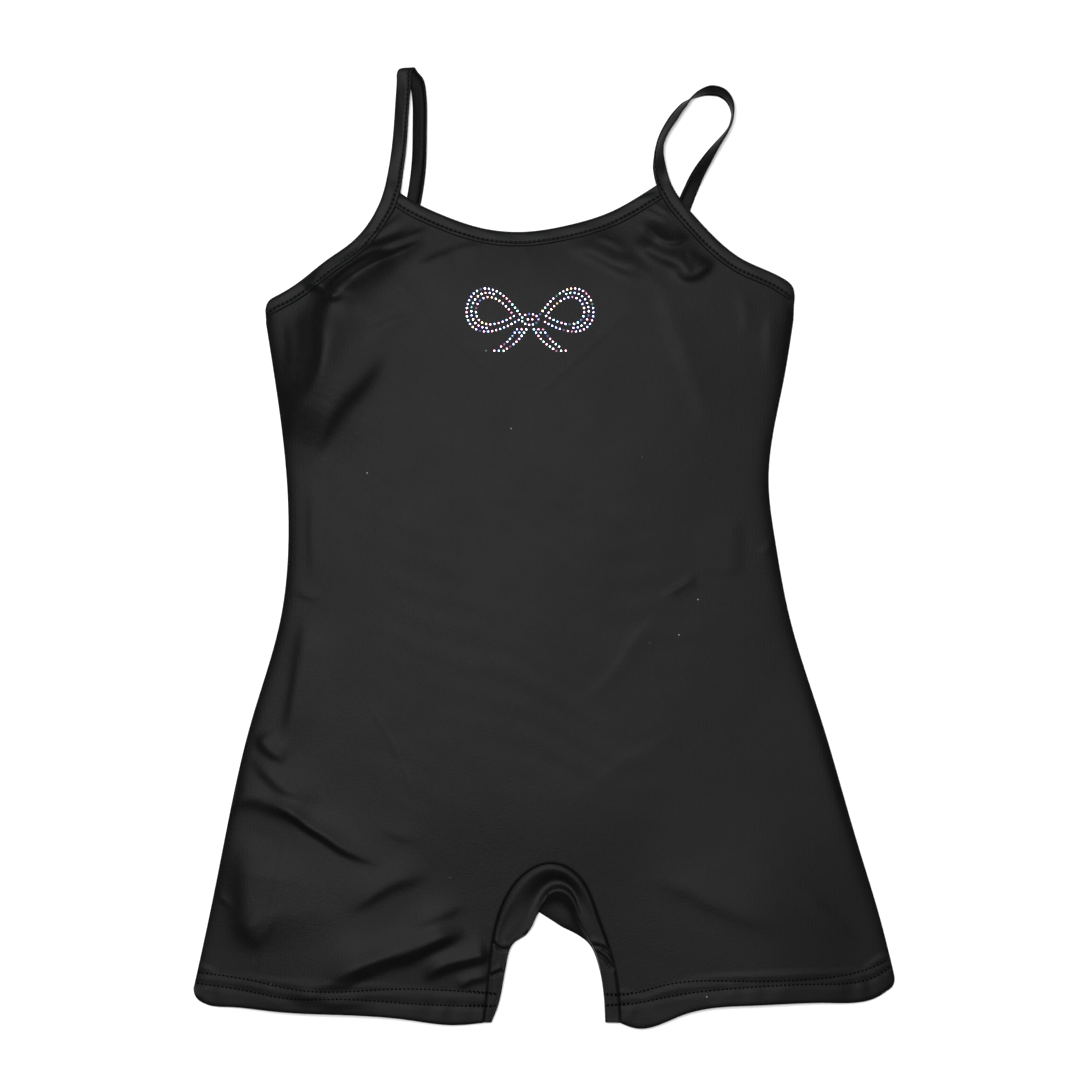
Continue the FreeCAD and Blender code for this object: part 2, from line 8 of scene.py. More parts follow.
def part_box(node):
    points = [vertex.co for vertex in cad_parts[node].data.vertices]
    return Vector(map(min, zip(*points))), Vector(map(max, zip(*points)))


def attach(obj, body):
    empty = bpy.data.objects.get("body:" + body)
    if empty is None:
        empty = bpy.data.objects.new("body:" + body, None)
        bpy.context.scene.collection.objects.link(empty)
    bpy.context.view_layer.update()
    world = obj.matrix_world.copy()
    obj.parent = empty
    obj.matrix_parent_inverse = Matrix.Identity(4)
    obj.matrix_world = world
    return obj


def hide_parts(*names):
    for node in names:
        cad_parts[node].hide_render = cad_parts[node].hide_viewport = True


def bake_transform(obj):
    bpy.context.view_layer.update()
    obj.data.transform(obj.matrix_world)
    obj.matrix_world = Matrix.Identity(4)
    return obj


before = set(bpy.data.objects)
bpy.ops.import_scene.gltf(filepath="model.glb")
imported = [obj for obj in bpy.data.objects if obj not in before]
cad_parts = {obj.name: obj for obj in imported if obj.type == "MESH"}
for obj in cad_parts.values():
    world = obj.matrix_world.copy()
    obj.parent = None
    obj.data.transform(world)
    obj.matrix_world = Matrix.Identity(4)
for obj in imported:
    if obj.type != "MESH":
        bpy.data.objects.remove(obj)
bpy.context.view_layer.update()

# A child's gymnastics biketard laid flat.  Shapes are worked out in millimetres in the CAD's
# frame and become metres when a mesh is made.  +X is the wearer's left, +Y points to the straps.
MM = 0.001
RNG = np.random.default_rng(239)


# ---- sizes

FABRIC = 0.6
WIDTH = 9.4                      # edge bindings and straps
BITE = 0.8
STITCH_PITCH = 2.9
STRIP_STEP = 0.45                # between a binding's or strap's cross-sections
HEM_DEPTH = 20.0
LABEL_LOW, LABEL_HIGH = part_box("care_label")


# ---- curves in the plane


def smooth(points, step=1.0):
    """Points about a step apart on one smooth curve through the given ones."""
    knots = np.array(points, float)
    chord = lengths(knots)
    gaps = np.diff(chord)
    count = len(knots)
    matrix = np.eye(count)
    right = np.zeros_like(knots)
    for i in range(1, count - 1):
        matrix[i, i - 1:i + 2] = gaps[i - 1], 2 * (gaps[i - 1] + gaps[i]), gaps[i]
        right[i] = 6 * ((knots[i + 1] - knots[i]) / gaps[i] - (knots[i] - knots[i - 1]) / gaps[i - 1])
    bend = np.linalg.solve(matrix, right)
    at = np.linspace(0, chord[-1], max(int(round(chord[-1] / step)), 2) + 1)
    span = np.clip(np.searchsorted(chord, at, side="right") - 1, 0, count - 2)
    gap = gaps[span][:, None]
    ahead = (chord[span + 1] - at)[:, None]
    behind = (at - chord[span])[:, None]
    first, second = knots[span], knots[span + 1]
    bend_1, bend_2 = bend[span], bend[span + 1]
    return ((bend_1 * ahead ** 3 + bend_2 * behind ** 3) / (6 * gap)
            + (first / gap - bend_1 * gap / 6) * ahead + (second / gap - bend_2 * gap / 6) * behind)


def lengths(line):
    """How far along a line each of its points is."""
    return np.concatenate([[0], np.cumsum(np.linalg.norm(np.diff(line, axis=0), axis=1))])


def points_at(line, along, at):
    """A line's points at some lengths along it."""
    return np.stack([np.interp(at, along, part) for part in line.T], axis=1)


def resample(line, count):
    """A line's points, spaced evenly along it."""
    along = lengths(line)
    return points_at(line, along, np.linspace(0, along[-1], count))


def left_of(line):
    """Unit vectors to the left of a line, at each of its points."""
    forward = np.gradient(line, axis=0)
    forward /= np.linalg.norm(forward, axis=1)[:, None]
    return np.stack([-forward[:, 1], forward[:, 0]], axis=1)


def offset(line, distance):
    """A line moved to its left."""
    return line + left_of(line) * distance


def blend(value, start, end):
    """0 before start, 1 after end, and a smooth step between."""
    t = np.clip((value - start) / (end - start), 0.0, 1.0)
    return t * t * (3 - 2 * t)


def hump(distance, width):
    """1 at no distance, dying away on both sides."""
    return np.exp(-(distance / width) ** 2)


def fading(share, start, end):
    """0 at a line's ends and 1 between, rising over start and dying away over end."""
    return blend(share, 0.0, start) * (1 - blend(share, 1 - end, 1.0))


side = {
    "left": smooth([(219.6, -272), (210, -233), (195, -183), (173, -108), (153.5, -45),
                    (144, 5), (140, 42), (149.5, 105), (155.5, 142)]),
    "right": smooth([(-174, 140), (-168.5, 105), (-161, 42), (-160, 5), (-165, -45),
                     (-183, -108), (-200, -183), (-210, -233), (-219.6, -277)]),
}
armhole = {
    "left": smooth([(156.2, 157), (155, 162.6), (149, 168), (123.4, 180), (110, 190), (100, 200),
                    (91, 210), (84, 218.5), (79.7, 225), (78.9, 226.4)]),
    "right": smooth([(-99, 226.4), (-99.4, 225), (-103, 215), (-111.6, 200), (-121, 190),
                     (-135, 180), (-151, 167.4), (-167, 157.3), (-172.6, 153.4),
                     (-174.3, 148.5)]),
}
front_neck = smooth([(72, 227.6), (66.8, 224.3), (43, 210.3), (14, 201), (-12, 197),
                     (-40, 199.5), (-66, 208.5), (-89.3, 221), (-93, 224)])
back_neck = smooth([(64.5, 156.5), (31, 123), (1, 93), (-5, 88), (-11, 86), (-17, 88.5),
                    (-24, 96), (-56, 132), (-91.5, 172)])
back_armhole = {
    "left": smooth([(155.8, 146.5), (125, 144.6), (95, 146.6), (80, 149.6), (73.5, 152.6)]),
    "right": smooth([(-100.5, 175.4), (-108, 171), (-126, 162.6), (-150, 153.4),
                     (-174.1, 146.5)]),
}
hem = {
    "right": smooth([(-219.4, -279.5), (-212, -284.8), (-197, -286.8), (-170, -289.2),
                     (-128, -291.2), (-85, -294.6), (-57, -298), (-37.5, -296.5)]),
    "left": smooth([(47, -296.5), (57, -300), (86, -291.6), (130, -285.4), (177, -284),
                    (207, -281), (219.6, -272)]),
}
hem_rows = {
    "right": [smooth([(-217.6, -272), (-186, -276.4), (-160, -281), (-128, -281.3),
                      (-84, -284.2), (-30.5, -286.6)]),
              smooth([(-217, -265.3), (-186, -269.3), (-152, -275.8), (-95, -275.2),
                      (-29, -279)])],
    "left": [smooth([(37.4, -286), (48, -285.4), (81, -279.3), (122, -274.3), (172, -272.2),
                     (206, -268), (217, -261)]),
             smooth([(37, -279), (48, -279.2), (77, -272.4), (114, -270), (172, -268.6),
                     (203, -262.6), (216, -256.6)])],
}
crotch_seam = smooth([(-38, -296.5), (-35, -270), (-32, -245), (-26.5, -225), (-14, -205.5),
                      (4, -197.3), (20, -204.2), (33, -230), (41.5, -254), (46, -277),
                      (47.2, -296.5)])
crotch_fold = np.vstack([
    smooth([(-34.3, -296.3), (-30.5, -286), (-27, -270), (-24.4, -256), (-21, -248.4),
            (-11, -241.6), (-7.4, -234.6), (-3.6, -228.4)]),
    smooth([(-3.4, -228.3), (12, -237.6), (28, -248), (33, -259), (36, -272), (37.8, -296.3)])])


# ---- how the front lies

CROWN = 6.2                      # how much higher the middle of the front lies
SIDE_GAP = 2.0                   # the front's underside at the side seams
INNER_LEG = 38.0                 # from the middle of the suit to a leg's inner edge


def half_width(y):
    """Half the suit's width at a height, a little past its edge."""
    return 225.0 - 70.0 * blend(y, -290, 45) + 13.0 * blend(y, 60, 140)


def front_height(x, y):
    """The underside of the smooth front above the floor: the CAD's crown, in millimetres."""
    across = np.abs(x + 10.0 * blend(y, -280, 0))
    torso = 1.0 - np.minimum(across / half_width(y), 1.05) ** 2
    in_leg = np.clip((across - INNER_LEG) / (half_width(y) - INNER_LEG), 0, 1)
    leg = np.sin(math.pi * in_leg) ** 2
    least = 0.25 + 0.3 * blend(y, -290, -215)
    leg = np.where(in_leg < 0.5, least + (1 - least) * leg, leg)
    legs = blend(y, -150, -235)
    crown = CROWN * (1.0 - 0.9 * blend(y, 150, 228))
    edge = SIDE_GAP + 0.6 * blend(y, 90, 130)
    return edge + crown * ((1 - legs) * torso + legs * leg)


def nearest(line, x, y):
    """Signed distance to a line (positive to its left) and how far along it, from 0 to 1."""
    best = np.full(x.shape, 1e9)
    signed = np.zeros(x.shape)
    share = np.zeros(x.shape)
    along = lengths(line)
    for i in range(len(line) - 1):
        ax, ay = line[i]
        dx, dy = line[i + 1] - line[i]
        long = math.hypot(dx, dy)
        t = np.clip(((x - ax) * dx + (y - ay) * dy) / long ** 2, 0, 1)
        px, py = x - ax - t * dx, y - ay - t * dy
        far = np.hypot(px, py)
        closer = far < best
        best = np.where(closer, far, best)
        signed = np.where(closer, far * np.where(dx * py - dy * px >= 0, 1, -1), signed)
        share = np.where(closer, (along[i] + t * long) / along[-1], share)
    return signed, share


# Folds of the front. Each is the line of its steep side, which looks darkest: the cloth to
# the left of the line is high, and falls away again over the reach. After the line come the
# fold's rise, width and reach, and the shares of the line over which it rises and dies away,
# where they aren't the usual ones.
USUAL_FADES = (0.3, 0.4)
FOLDS = [
    # the long fold from the right strap point, round the chest and down the side
    ([(-84, 190), (-100, 183), (-115, 174), (-128, 165), (-136, 154), (-139.5, 140),
      (-141, 126), (-145, 108), (-151, 94), (-160, 80)], 5.4, 6.0, 26, 0.3, 0.3),
    ([(-146, 160), (-150, 138), (-152, 118), (-158, 92), (-166, 66)], 4.6, 10.0, 28, 0.3, 0.3),
    ([(-73, 193), (-92, 185.5), (-110, 176.5), (-130, 166)], 2.9, 2.0, 9, 0.3, 0.2),
    ([(-94, 189), (-110, 180), (-126, 170), (-137, 159)], 2.4, 1.8, 8, 0.3, 0.25),
    ([(-118, 160), (-128, 158), (-137, 158.5), (-146, 162)], 1.2, 2.2, 8, 0.3, 0.3),
    ([(-152, 165), (-144, 162), (-136, 158), (-130, 151)], 3.6, 2.8, 10, 0.35, 0.3),
    ([(-70, 200), (-90, 193.5), (-112, 184)], 1.1, 1.4, 6),
    ([(-80, 203), (-97, 193), (-120, 182), (-140, 170)], 1.9, 2.4, 8, 0.3, 0.3),
    ([(-86, 211), (-100, 200), (-118, 189)], 0.8, 1.4, 5),
    ([(-55, 185), (-70, 181), (-84, 174)], 0.8, 2.2, 8),
    ([(-36, 190), (-52, 187), (-66, 181)], 0.5, 1.8, 6),
    ([(-152, 44), (-140, 64), (-125, 87), (-108, 108), (-92, 126)], 3.0, 5.6, 20, 0.4, 0.4),
    ([(-77, 147), (-93, 143), (-107, 137), (-115, 128)], 0.9, 3.0, 10, 0.4, 0.4),
    ([(-163, 146), (-160, 122), (-162, 96)], 0.8, 3.0, 9),
    ([(-164, 118), (-148, 116), (-136, 119)], 0.3, 1.0, 4, 0.4, 0.4),
    # the roll along the right side
    ([(-147, 46), (-148, 20), (-146, -4), (-147, -24)], 0.6, 2.6, 12, 0.4, 0.3),
    ([(-158, -28), (-146, -32), (-136, -31)], 0.5, 1.3, 4, 0.4, 0.5),
    ([(-150, -36), (-154, -62), (-158, -92), (-167, -128)], 1.6, 4.0, 16, 0.3, 0.3),
    ([(-181, -116), (-172, -128), (-160, -136)], 2.2, 3.0, 9),
    ([(-184, -128), (-172, -145), (-155, -155), (-136, -162)], 1.8, 4.0, 12, 0.3, 0.5),
    ([(-201, -162), (-179, -161), (-160, -168), (-146, -177)], 2.6, 6.0, 16, 0.15, 0.4),
    ([(-176, -160), (-160, -167), (-144, -177.5), (-128, -188), (-114, -195.5), (-98, -199)],
     3.0, 1.8, 9, 0.25, 0.5),
    ([(-106, -176), (-92, -180), (-74, -186)], 0.5, 3.4, 9, 0.4, 0.5),
    ([(-184, -176), (-192, -214), (-187, -258)], 4.0, 11.0, 30, 0.35, 0.35),
    ([(-192, -232), (-186, -243), (-176, -252)], 1.2, 5.0, 12, 0.35, 0.35),
    ([(-168, -281), (-136, -284), (-104, -286)], 1.9, 4.6, 14, 0.35, 0.35),
    ([(-206, -218), (-200, -222), (-196, -227)], 0.7, 1.0, 3, 0.2, 0.5),
    # the right leg, pulled towards the crotch
    ([(-126, -229), (-98, -215), (-68, -202)], 2.0, 4.6, 12, 0.4, 0.4),
    ([(-86, -241), (-70, -233), (-46, -222)], 1.1, 3.6, 10, 0.4, 0.4),
    ([(-148, -279), (-118, -266), (-92, -257), (-68, -249), (-46, -239)], 5.0, 4.2, 15, 0.35, 0.2),
    ([(-132, -276), (-112, -268), (-94, -262)], 1.2, 2.2, 6, 0.4, 0.4),
    ([(-78, -271), (-56, -261.5), (-33, -255)], 3.4, 2.8, 10, 0.35, 0.15),
    ([(-54, -277), (-44, -271), (-35, -269)], 1.4, 1.6, 5, 0.35, 0.2),
    # the left leg
    ([(56, -206), (84, -216), (106, -225), (156, -246)], 0.8, 6.0, 18, 0.35, 0.4),
    ([(206, -228), (195, -182), (178, -122), (160, -62)], 1.0, 4.5, 20, 0.4, 0.4),
    ([(198, -246), (176, -226), (150, -206)], 0.45, 3.0, 10, 0.4, 0.5),
    # the left of the chest
    ([(12, 186), (29, 181), (48, 172), (62, 164)], 2.1, 4.4, 12, 0.35, 0.3),
    ([(28, 192), (42, 189), (52, 184)], 0.6, 1.8, 5, 0.4, 0.4),
    ([(59, 204), (66, 194.5), (79, 188.5), (92, 193)], 1.7, 1.7, 6, 0.3, 0.25),
    ([(66, 216), (72, 210), (80, 206)], 0.9, 1.0, 3, 0.3, 0.3),
    ([(61, 210), (69, 206), (77, 203)], 0.8, 1.0, 3, 0.3, 0.3),
    ([(54, 192), (64, 184), (72, 180), (83, 174), (92, 168)], 3.2, 4.2, 12, 0.35, 0.3),
    ([(78, 174), (90, 167), (99, 171), (106, 181)], 2.6, 3.2, 9, 0.35, 0.3),
    ([(42, 180), (58, 172), (76, 158)], 1.2, 4.4, 12, 0.4, 0.5),
    ([(66, 172), (76, 142), (86, 112), (104, 62)], 0.9, 4.6, 16, 0.3, 0.5),
    ([(121, 163), (123, 148), (121, 128)], 0.5, 3.0, 8, 0.3, 0.5),
    ([(142, 150), (138, 128), (137, 104)], 0.6, 3.0, 8, 0.3, 0.5),
    # the middle and the belly
    ([(95, -16), (84, -23.5), (71, -30)], 0.9, 1.2, 5),
    ([(72, -35), (54, -59), (28, -90), (10, -104)], 0.5, 3.0, 10, 0.3, 0.6),
    ([(96, -106), (50, -131), (8, -164)], 0.2, 2.8, 8, 0.4, 0.5),
    ([(142, 5), (138, 0), (133, -3)], 0.5, 1.2, 4),
    ([(-62, 30), (-20, 27), (26, 29)], 0.07, 1.2, 5, 0.3, 0.3),
    ([(-26, 73), (-56, 54), (-96, 31)], 0.12, 1.6, 6, 0.3, 0.5),
    ([(-48, 112), (-8, 72), (36, 34)], 0.16, 1.6, 6, 0.3, 0.5),
    ([(-14, 188), (-12, 178), (-14, 166)], 0.25, 1.8, 7, 0.2, 0.6),
]
# narrow ridges: the back's V neck pressing through, the seam allowance of the right leg, and
# a faint crease
PRESSED = [
    ([(-99, 172), (-56, 131), (-12, 87)], 0.16, 1.6),
    ([(-12, 87), (24, 121), (62, 156)], 0.12, 1.6),
    ([(-160, -180), (-168, -214), (-173, -243), (-180, -270)], 0.20, 1.6),
    ([(-112, -96), (-98, -116), (-88, -138), (-80, -161)], 0.12, 1.1),
]


def fold_height(x, y):
    """What the folds add to the smooth front."""
    total = np.zeros(x.shape)
    wander = 0.7 * np.sin(x / 9 + y / 13) + 0.4 * np.sin(x / 5 - y / 7)
    for points, rise, width, reach, *fades in FOLDS:
        start, end = fades or USUAL_FADES
        signed, share = nearest(smooth(points, 5), x, y)
        signed = signed + wander * min(width / 2.5, 1)
        step = 1 / (1 + np.exp(-np.clip(2.6 * signed / width, -30, 30)))
        total += rise * fading(share, start, end) * step * np.exp(-(np.maximum(signed, 0) / reach) ** 1.4)
    for points, rise, width in PRESSED:
        signed, share = nearest(smooth(points, 5), x, y)
        total += rise * fading(share, 0.2, 0.2) * hump(signed, width)
    return total


def ripples(x, y):
    """Fine slanting ripples of the slack knit over the belly, and broad soft unevenness."""
    slant = 0.26 * x + y
    wander = 9 * np.sin(x / 41 + 0.6) + 5 * np.sin(x / 17 + y / 90)
    fine = np.sin((slant + wander) / 2.9) * (0.6 + 0.4 * np.sin(slant / 23 + x / 31))
    belly = blend(y, -195, -120) * (1 - blend(y, 20, 80)) * (1 - blend(np.abs(x + 5), 70, 130))
    broad = 0.5 * np.sin(x / 33 + 1.2) * np.sin(y / 47 + 0.4) + 0.3 * np.sin(x / 19 - y / 26)
    soft = np.sin(x / 5.3 + 1.7 * np.sin(y / 13)) * np.sin(y / 4.1 + 1.3 * np.sin(x / 11 + 2))
    uneven = 0.6 * np.sin(x / 8.7 + y / 15 + 0.8) * np.sin(y / 7.9 - x / 23) + 0.4 * soft
    within = np.clip(1 - (np.abs(x) / 190) ** 4, 0, 1)
    return 0.06 * belly * fine + (0.35 * broad + 0.045 * uneven) * within


def label_height(x, y):
    """The step that the label makes in the front, and the slight dip across it."""
    low_x, low_y = LABEL_LOW[0] / MM, LABEL_LOW[1] / MM
    seen = 23.0
    inside_x = blend(x, low_x - 3, low_x + 1) * (1 - blend(x, low_x + seen - 3, low_x + seen + 9))
    inside_y = blend(y, low_y - 5, low_y + 3) * (1 - blend(y, -low_y - 3, -low_y + 5))
    across = (x - low_x) / seen
    return inside_x * inside_y * (0.02 + 0.4 * across)


def hem_lift(x, y):
    """The turned-up hem's step, and how its stitches pull it in."""
    lift = np.zeros(x.shape)
    for which, line in hem.items():
        signed, share = nearest(line[::4], x, y)
        on_leg = np.where((x > 0) == (which == "left"), 1.0, 0.0)
        along = share * lengths(line)[-1]
        band = blend(signed, HEM_DEPTH + 1.5, HEM_DEPTH - 1.5)
        pucker = 0.16 * np.sin(along / 3.4 + np.sin(along / 13) * 2) * hump(signed - 8, 7)
        pulled = sum(0.3 * hump(nearest(row[::4], x, y)[0], 1.7) for row in hem_rows[which])
        lift += on_leg * band * (0.45 + pucker - pulled)
        lift -= on_leg * 0.5 * (1 - blend(signed, 0.0, 1.6))
    return lift


side_seam_line = {
    "left": np.vstack([side["left"][::6], [(156.2, 155)]]),
    "right": np.vstack([[(-174.2, 146)], side["right"][::6]]),
}
SEAM_FLOOR = 0.85                # the back's inner face, which the front meets at its sides
LOWEST = 1.3                     # the front's inner face at the bottom of its deepest folds


def roll_edges(x, y, height):
    """Rolls the front down to the back along the side seams, and into the crotch seam."""
    for line in side_seam_line.values():
        gap = np.abs(nearest(line, x, y)[0])
        height = height - (height - SEAM_FLOOR) * np.exp(-gap / 3.0)
    gap = np.abs(nearest(crotch_seam[::3], x, y)[0])
    return height - (0.55 + 0.4 * blend(y, -262, -225)) * hump(gap, 0.6)


def front_top(x, y):
    """The outer surface of the front, in millimetres above the floor."""
    smooth_part = front_height(x, y) + ripples(x, y) + label_height(x, y)
    height = np.maximum(smooth_part + fold_height(x, y), LOWEST)
    return roll_edges(x, y, height) + FABRIC


# ---- meshes


def make(name, points, faces, material, smooth_shading=True):
    """A mesh piece from points in millimetres."""
    mesh = bpy.data.meshes.new(name)
    mesh.from_pydata((np.asarray(points, float) * MM).tolist(), [], [list(f) for f in faces])
    mesh.validate()
    mesh.update()
    piece = bpy.data.objects.new(name, mesh)
    bpy.context.scene.collection.objects.link(piece)
    mesh.materials.append(material)
    mesh.polygons.foreach_set("use_smooth", [smooth_shading] * len(mesh.polygons))
    if smooth_shading:
        mesh.set_sharp_from_angle(angle=math.radians(55))
    return piece


def on_suit(piece, node):
    """Declares a piece that moves with the suit and takes a CAD node's place."""
    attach(piece, "garment")
    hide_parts(node)


def inside(polygon, points):
    """Which points are inside a closed outline."""
    x, y = points[:, 0], points[:, 1]
    result = np.zeros(len(points), bool)
    for (ax, ay), (bx, by) in zip(polygon, np.roll(polygon, -1, axis=0)):
        crosses = (ay > y) != (by > y)
        with np.errstate(divide="ignore", invalid="ignore"):
            at = (bx - ax) * (y - ay) / (by - ay) + ax
        result ^= crosses & (x < at)
    return result


RIMS = (0.5, 1.1, 2.0)           # rows of points beside a sheet's edge, where it rolls under


def cloth(name, outline, spacing, top, bottom, material):
    """A closed sheet of knit over an outline, between two heights worked out at each point."""
    outline = outline[np.linalg.norm(outline - np.roll(outline, 1, axis=0), axis=1) > 0.05]
    low, high = outline.min(axis=0), outline.max(axis=0)
    rows = np.arange(low[1] + spacing / 2, high[1], spacing * math.sqrt(3) / 2)
    columns = np.arange(low[0] + spacing / 2, high[0], spacing)
    grid = np.array([(x + (row % 2) * spacing / 2, y)
                     for row, y in enumerate(rows) for x in columns])
    grid = grid[inside(outline, grid)]
    gap, _ = nearest(np.vstack([outline[::2], outline[:1]]), grid[:, 0], grid[:, 1])
    grid = grid[np.abs(gap) > RIMS[-1] + spacing * 0.5]
    closed = np.vstack([outline[-1:], outline, outline[:1]])
    rims = [offset(closed, depth)[1:-1] for depth in RIMS]
    rims = [rim[inside(outline, rim)] for rim in rims]
    flat = [Vector(p) for p in np.vstack([outline, *rims, grid])]
    rim = [(i, (i + 1) % len(outline)) for i in range(len(outline))]
    corners, _, triangles, *_ = delaunay_2d_cdt(flat, rim, [], 1, 1e-4)
    plan = np.array([(p.x, p.y) for p in corners])
    sides = [(face[k], face[(k + 1) % 3]) for face in triangles for k in range(3)]
    shared = set(sides)
    edges = [(a, b) for a, b in sides if (b, a) not in shared]
    count = len(plan)
    points = np.vstack([np.column_stack([plan, top(plan[:, 0], plan[:, 1])]),
                        np.column_stack([plan, bottom(plan[:, 0], plan[:, 1])])])
    faces = [tuple(face) for face in triangles]
    faces += [tuple(i + count for i in reversed(face)) for face in triangles]
    faces += [(b, a, a + count, b + count) for a, b in edges]
    return make(name, points, faces, material)


def quads(index):
    """The faces between the neighbours in a grid of point numbers."""
    corners = index[:-1, :-1], index[:-1, 1:], index[1:, 1:], index[1:, :-1]
    return np.stack(corners, axis=-1).reshape(-1, 4).tolist()


def skin(index):
    """The faces over rings of point numbers, and over the first and last ring."""
    around = quads(np.hstack([index, index[:, :1]]))
    return around + [index[0, ::-1].tolist(), index[-1].tolist()]


def numbers(rows, columns, first=0):
    """A grid of point numbers, row by row."""
    return np.arange(first, first + rows * columns).reshape(rows, columns)


def sheet_grid(name, grid, material, thickness=FABRIC):
    """A closed sheet from a grid of points: the thickness is added below it."""
    grid = np.asarray(grid, float)
    normal = np.cross(np.gradient(grid, axis=0), np.gradient(grid, axis=1))
    normal /= np.maximum(np.linalg.norm(normal, axis=2), 1e-9)[..., None]
    below = grid - normal * thickness
    points = np.vstack([grid.reshape(-1, 3), below.reshape(-1, 3)])
    index = numbers(*grid.shape[:2])
    count = index.size
    rim = np.concatenate([index[0], index[1:, -1], index[-1, -2::-1], index[-2:0:-1, 0]]).tolist()
    faces = [face[::-1] for face in quads(index)] + quads(index + count)
    faces += [(a, b, b + count, a + count) for a, b in zip(rim, rim[1:] + rim[:1])]
    return make(name, points, faces, material)


# Across a folded binding and across a strap, from the fold to the free edge and back beneath:
# share of the width, and height over the panel or over the strap's middle.
BINDING_SHAPE = [(0.0, -0.30), (0.012, 0.10), (0.05, 0.52), (0.11, 0.78), (0.2, 0.92),
                 (0.32, 0.98), (0.45, 0.97), (0.55, 0.93), (0.62, 0.88), (0.67, 0.80),
                 (0.695, 0.73), (0.713, 0.70), (0.731, 0.73), (0.76, 0.79), (0.81, 0.84),
                 (0.865, 0.85), (0.905, 0.80), (0.93, 0.60), (0.965, 0.25), (1.0, -0.10),
                 (0.985, -0.45), (0.93, -0.66), (0.8, -0.7), (0.713, -0.62), (0.6, -0.72),
                 (0.45, -0.75), (0.3, -0.77), (0.15, -0.78), (0.06, -0.7), (0.015, -0.5)]
STRAP_SHAPE = [(0.0, 0.0), (0.012, 0.24), (0.05, 0.42), (0.11, 0.54), (0.2, 0.6),
               (0.32, 0.63), (0.45, 0.63), (0.55, 0.6), (0.64, 0.56), (0.72, 0.5),
               (0.77, 0.40), (0.80, 0.26), (0.83, 0.40), (0.87, 0.48), (0.91, 0.5),
               (0.94, 0.47), (0.965, 0.4), (0.985, 0.26), (1.0, 0.1), (1.0, 0.0),
               (0.985, -0.26), (0.94, -0.47), (0.87, -0.5), (0.80, -0.14), (0.73, -0.52),
               (0.55, -0.6), (0.32, -0.63), (0.15, -0.57), (0.05, -0.42), (0.012, -0.24)]
GROOVE, UNDER_GROOVE = 11, 23    # where the stitches press in, above and beneath
UNDER_START = 20                 # the first place beneath


def folded_strip(name, outer, inner, up, weight, surface, material):
    """A folded strip between two edges: a binding where weight is 0 and a strap where it is 1."""
    along = lengths((outer + inner) / 2)
    phase = np.abs((along / STITCH_PITCH) % 1.0 - 0.5) * STITCH_PITCH
    holes = hump(phase, 0.7)
    shape = []
    for (share, height), (strap_share, strap_height) in zip(BINDING_SHAPE, STRAP_SHAPE):
        shape.append((share + (strap_share - share) * weight,
                      height + (strap_height - height) * weight))
    columns = []
    for index, (share, height) in enumerate(shape):
        groove = shape[GROOVE if index < UNDER_START else UNDER_GROOVE][0]
        near = hump((share - groove) * WIDTH, 0.42)
        depth = 0.55 * holes * near * np.abs(np.sign(height))
        puff = 0.05 * np.sin(along / 4.1 + index) * (1 - near)
        height = height - np.sign(height) * np.minimum(depth, np.abs(height) * 0.9) + puff
        place = outer + (inner - outer) * share[:, None]
        on_panel = (1 - weight) * (surface(place[:, 0], place[:, 1]) - place[:, 2])
        place[:, 2] += on_panel
        columns.append(place + up * height[:, None])
    rings = np.stack(columns, axis=1)[:, ::-1]
    return make(name, rings.reshape(-1, 3), skin(numbers(*rings.shape[:2])), material)


def groove_row(outer, inner, up, weight, surface, under=False):
    """The line of a strip's stitches, above it or beneath it."""
    index = UNDER_GROOVE if under else GROOVE
    share = BINDING_SHAPE[index][0] + (STRAP_SHAPE[index][0] - BINDING_SHAPE[index][0]) * weight
    height = BINDING_SHAPE[index][1] + (STRAP_SHAPE[index][1] - BINDING_SHAPE[index][1]) * weight
    place = outer + (inner - outer) * share[:, None]
    place[:, 2] += (1 - weight) * (surface(place[:, 0], place[:, 1]) - place[:, 2])
    sign = -1 if under else 1
    sunk = 0.38 - 0.40 * weight
    return place + up * (height - sunk * sign)[:, None], up * sign


def thread(name, rows, material, pitch=STITCH_PITCH, radius=0.2, gap=1.3, arch=0.1):
    """Rows of separate stitches. A row is (points, ups): a line and what is up along it."""
    points, faces = [], []
    around, stations = 6, 7
    t = np.linspace(0, 1, stations)
    swell = np.sin(math.pi * t).clip(0)
    fat = radius * (0.45 + 0.55 * np.sqrt(swell))[:, None]
    lift = (arch * swell - 0.3 * np.abs(2 * t - 1) ** 3)[:, None]
    for line, ups in rows:
        along = lengths(line)
        for stitch in range(int(along[-1] / pitch)):
            at = stitch * pitch + gap / 2 + t * (pitch - gap)
            place, up = points_at(line, along, at), points_at(ups, along, at)
            beside = np.cross(place[-1] - place[0], up)
            beside *= 1.25 / np.linalg.norm(beside, axis=1)[:, None]
            ring = [(beside * math.cos(turn) + up * math.sin(turn)) * fat
                    for turn in np.arange(around) * 2 * math.pi / around]
            faces += skin(numbers(stations, around, around * stations * len(points)))
            points.append(np.stack(ring, axis=1) + (place + up * lift)[:, None])
    return make(name, np.array(points).reshape(-1, 3), faces, material)


def surface_row(line, surface, lift):
    """A stitch row's line laid on a surface."""
    z = surface(line[:, 0], line[:, 1]) + lift
    return np.column_stack([line, z]), np.tile((0.0, 0.0, 1.0), (len(line), 1))


# ---- materials


def node_material(name):
    """A new material, its node tree and its shader."""
    material = bpy.data.materials.new(name)
    material.use_nodes = True
    tree = material.node_tree
    tree.nodes.clear()
    output = tree.nodes.new("ShaderNodeOutputMaterial")
    shader = tree.nodes.new("ShaderNodeBsdfPrincipled")
    tree.links.new(shader.outputs["BSDF"], output.inputs["Surface"])
    return material, tree, shader


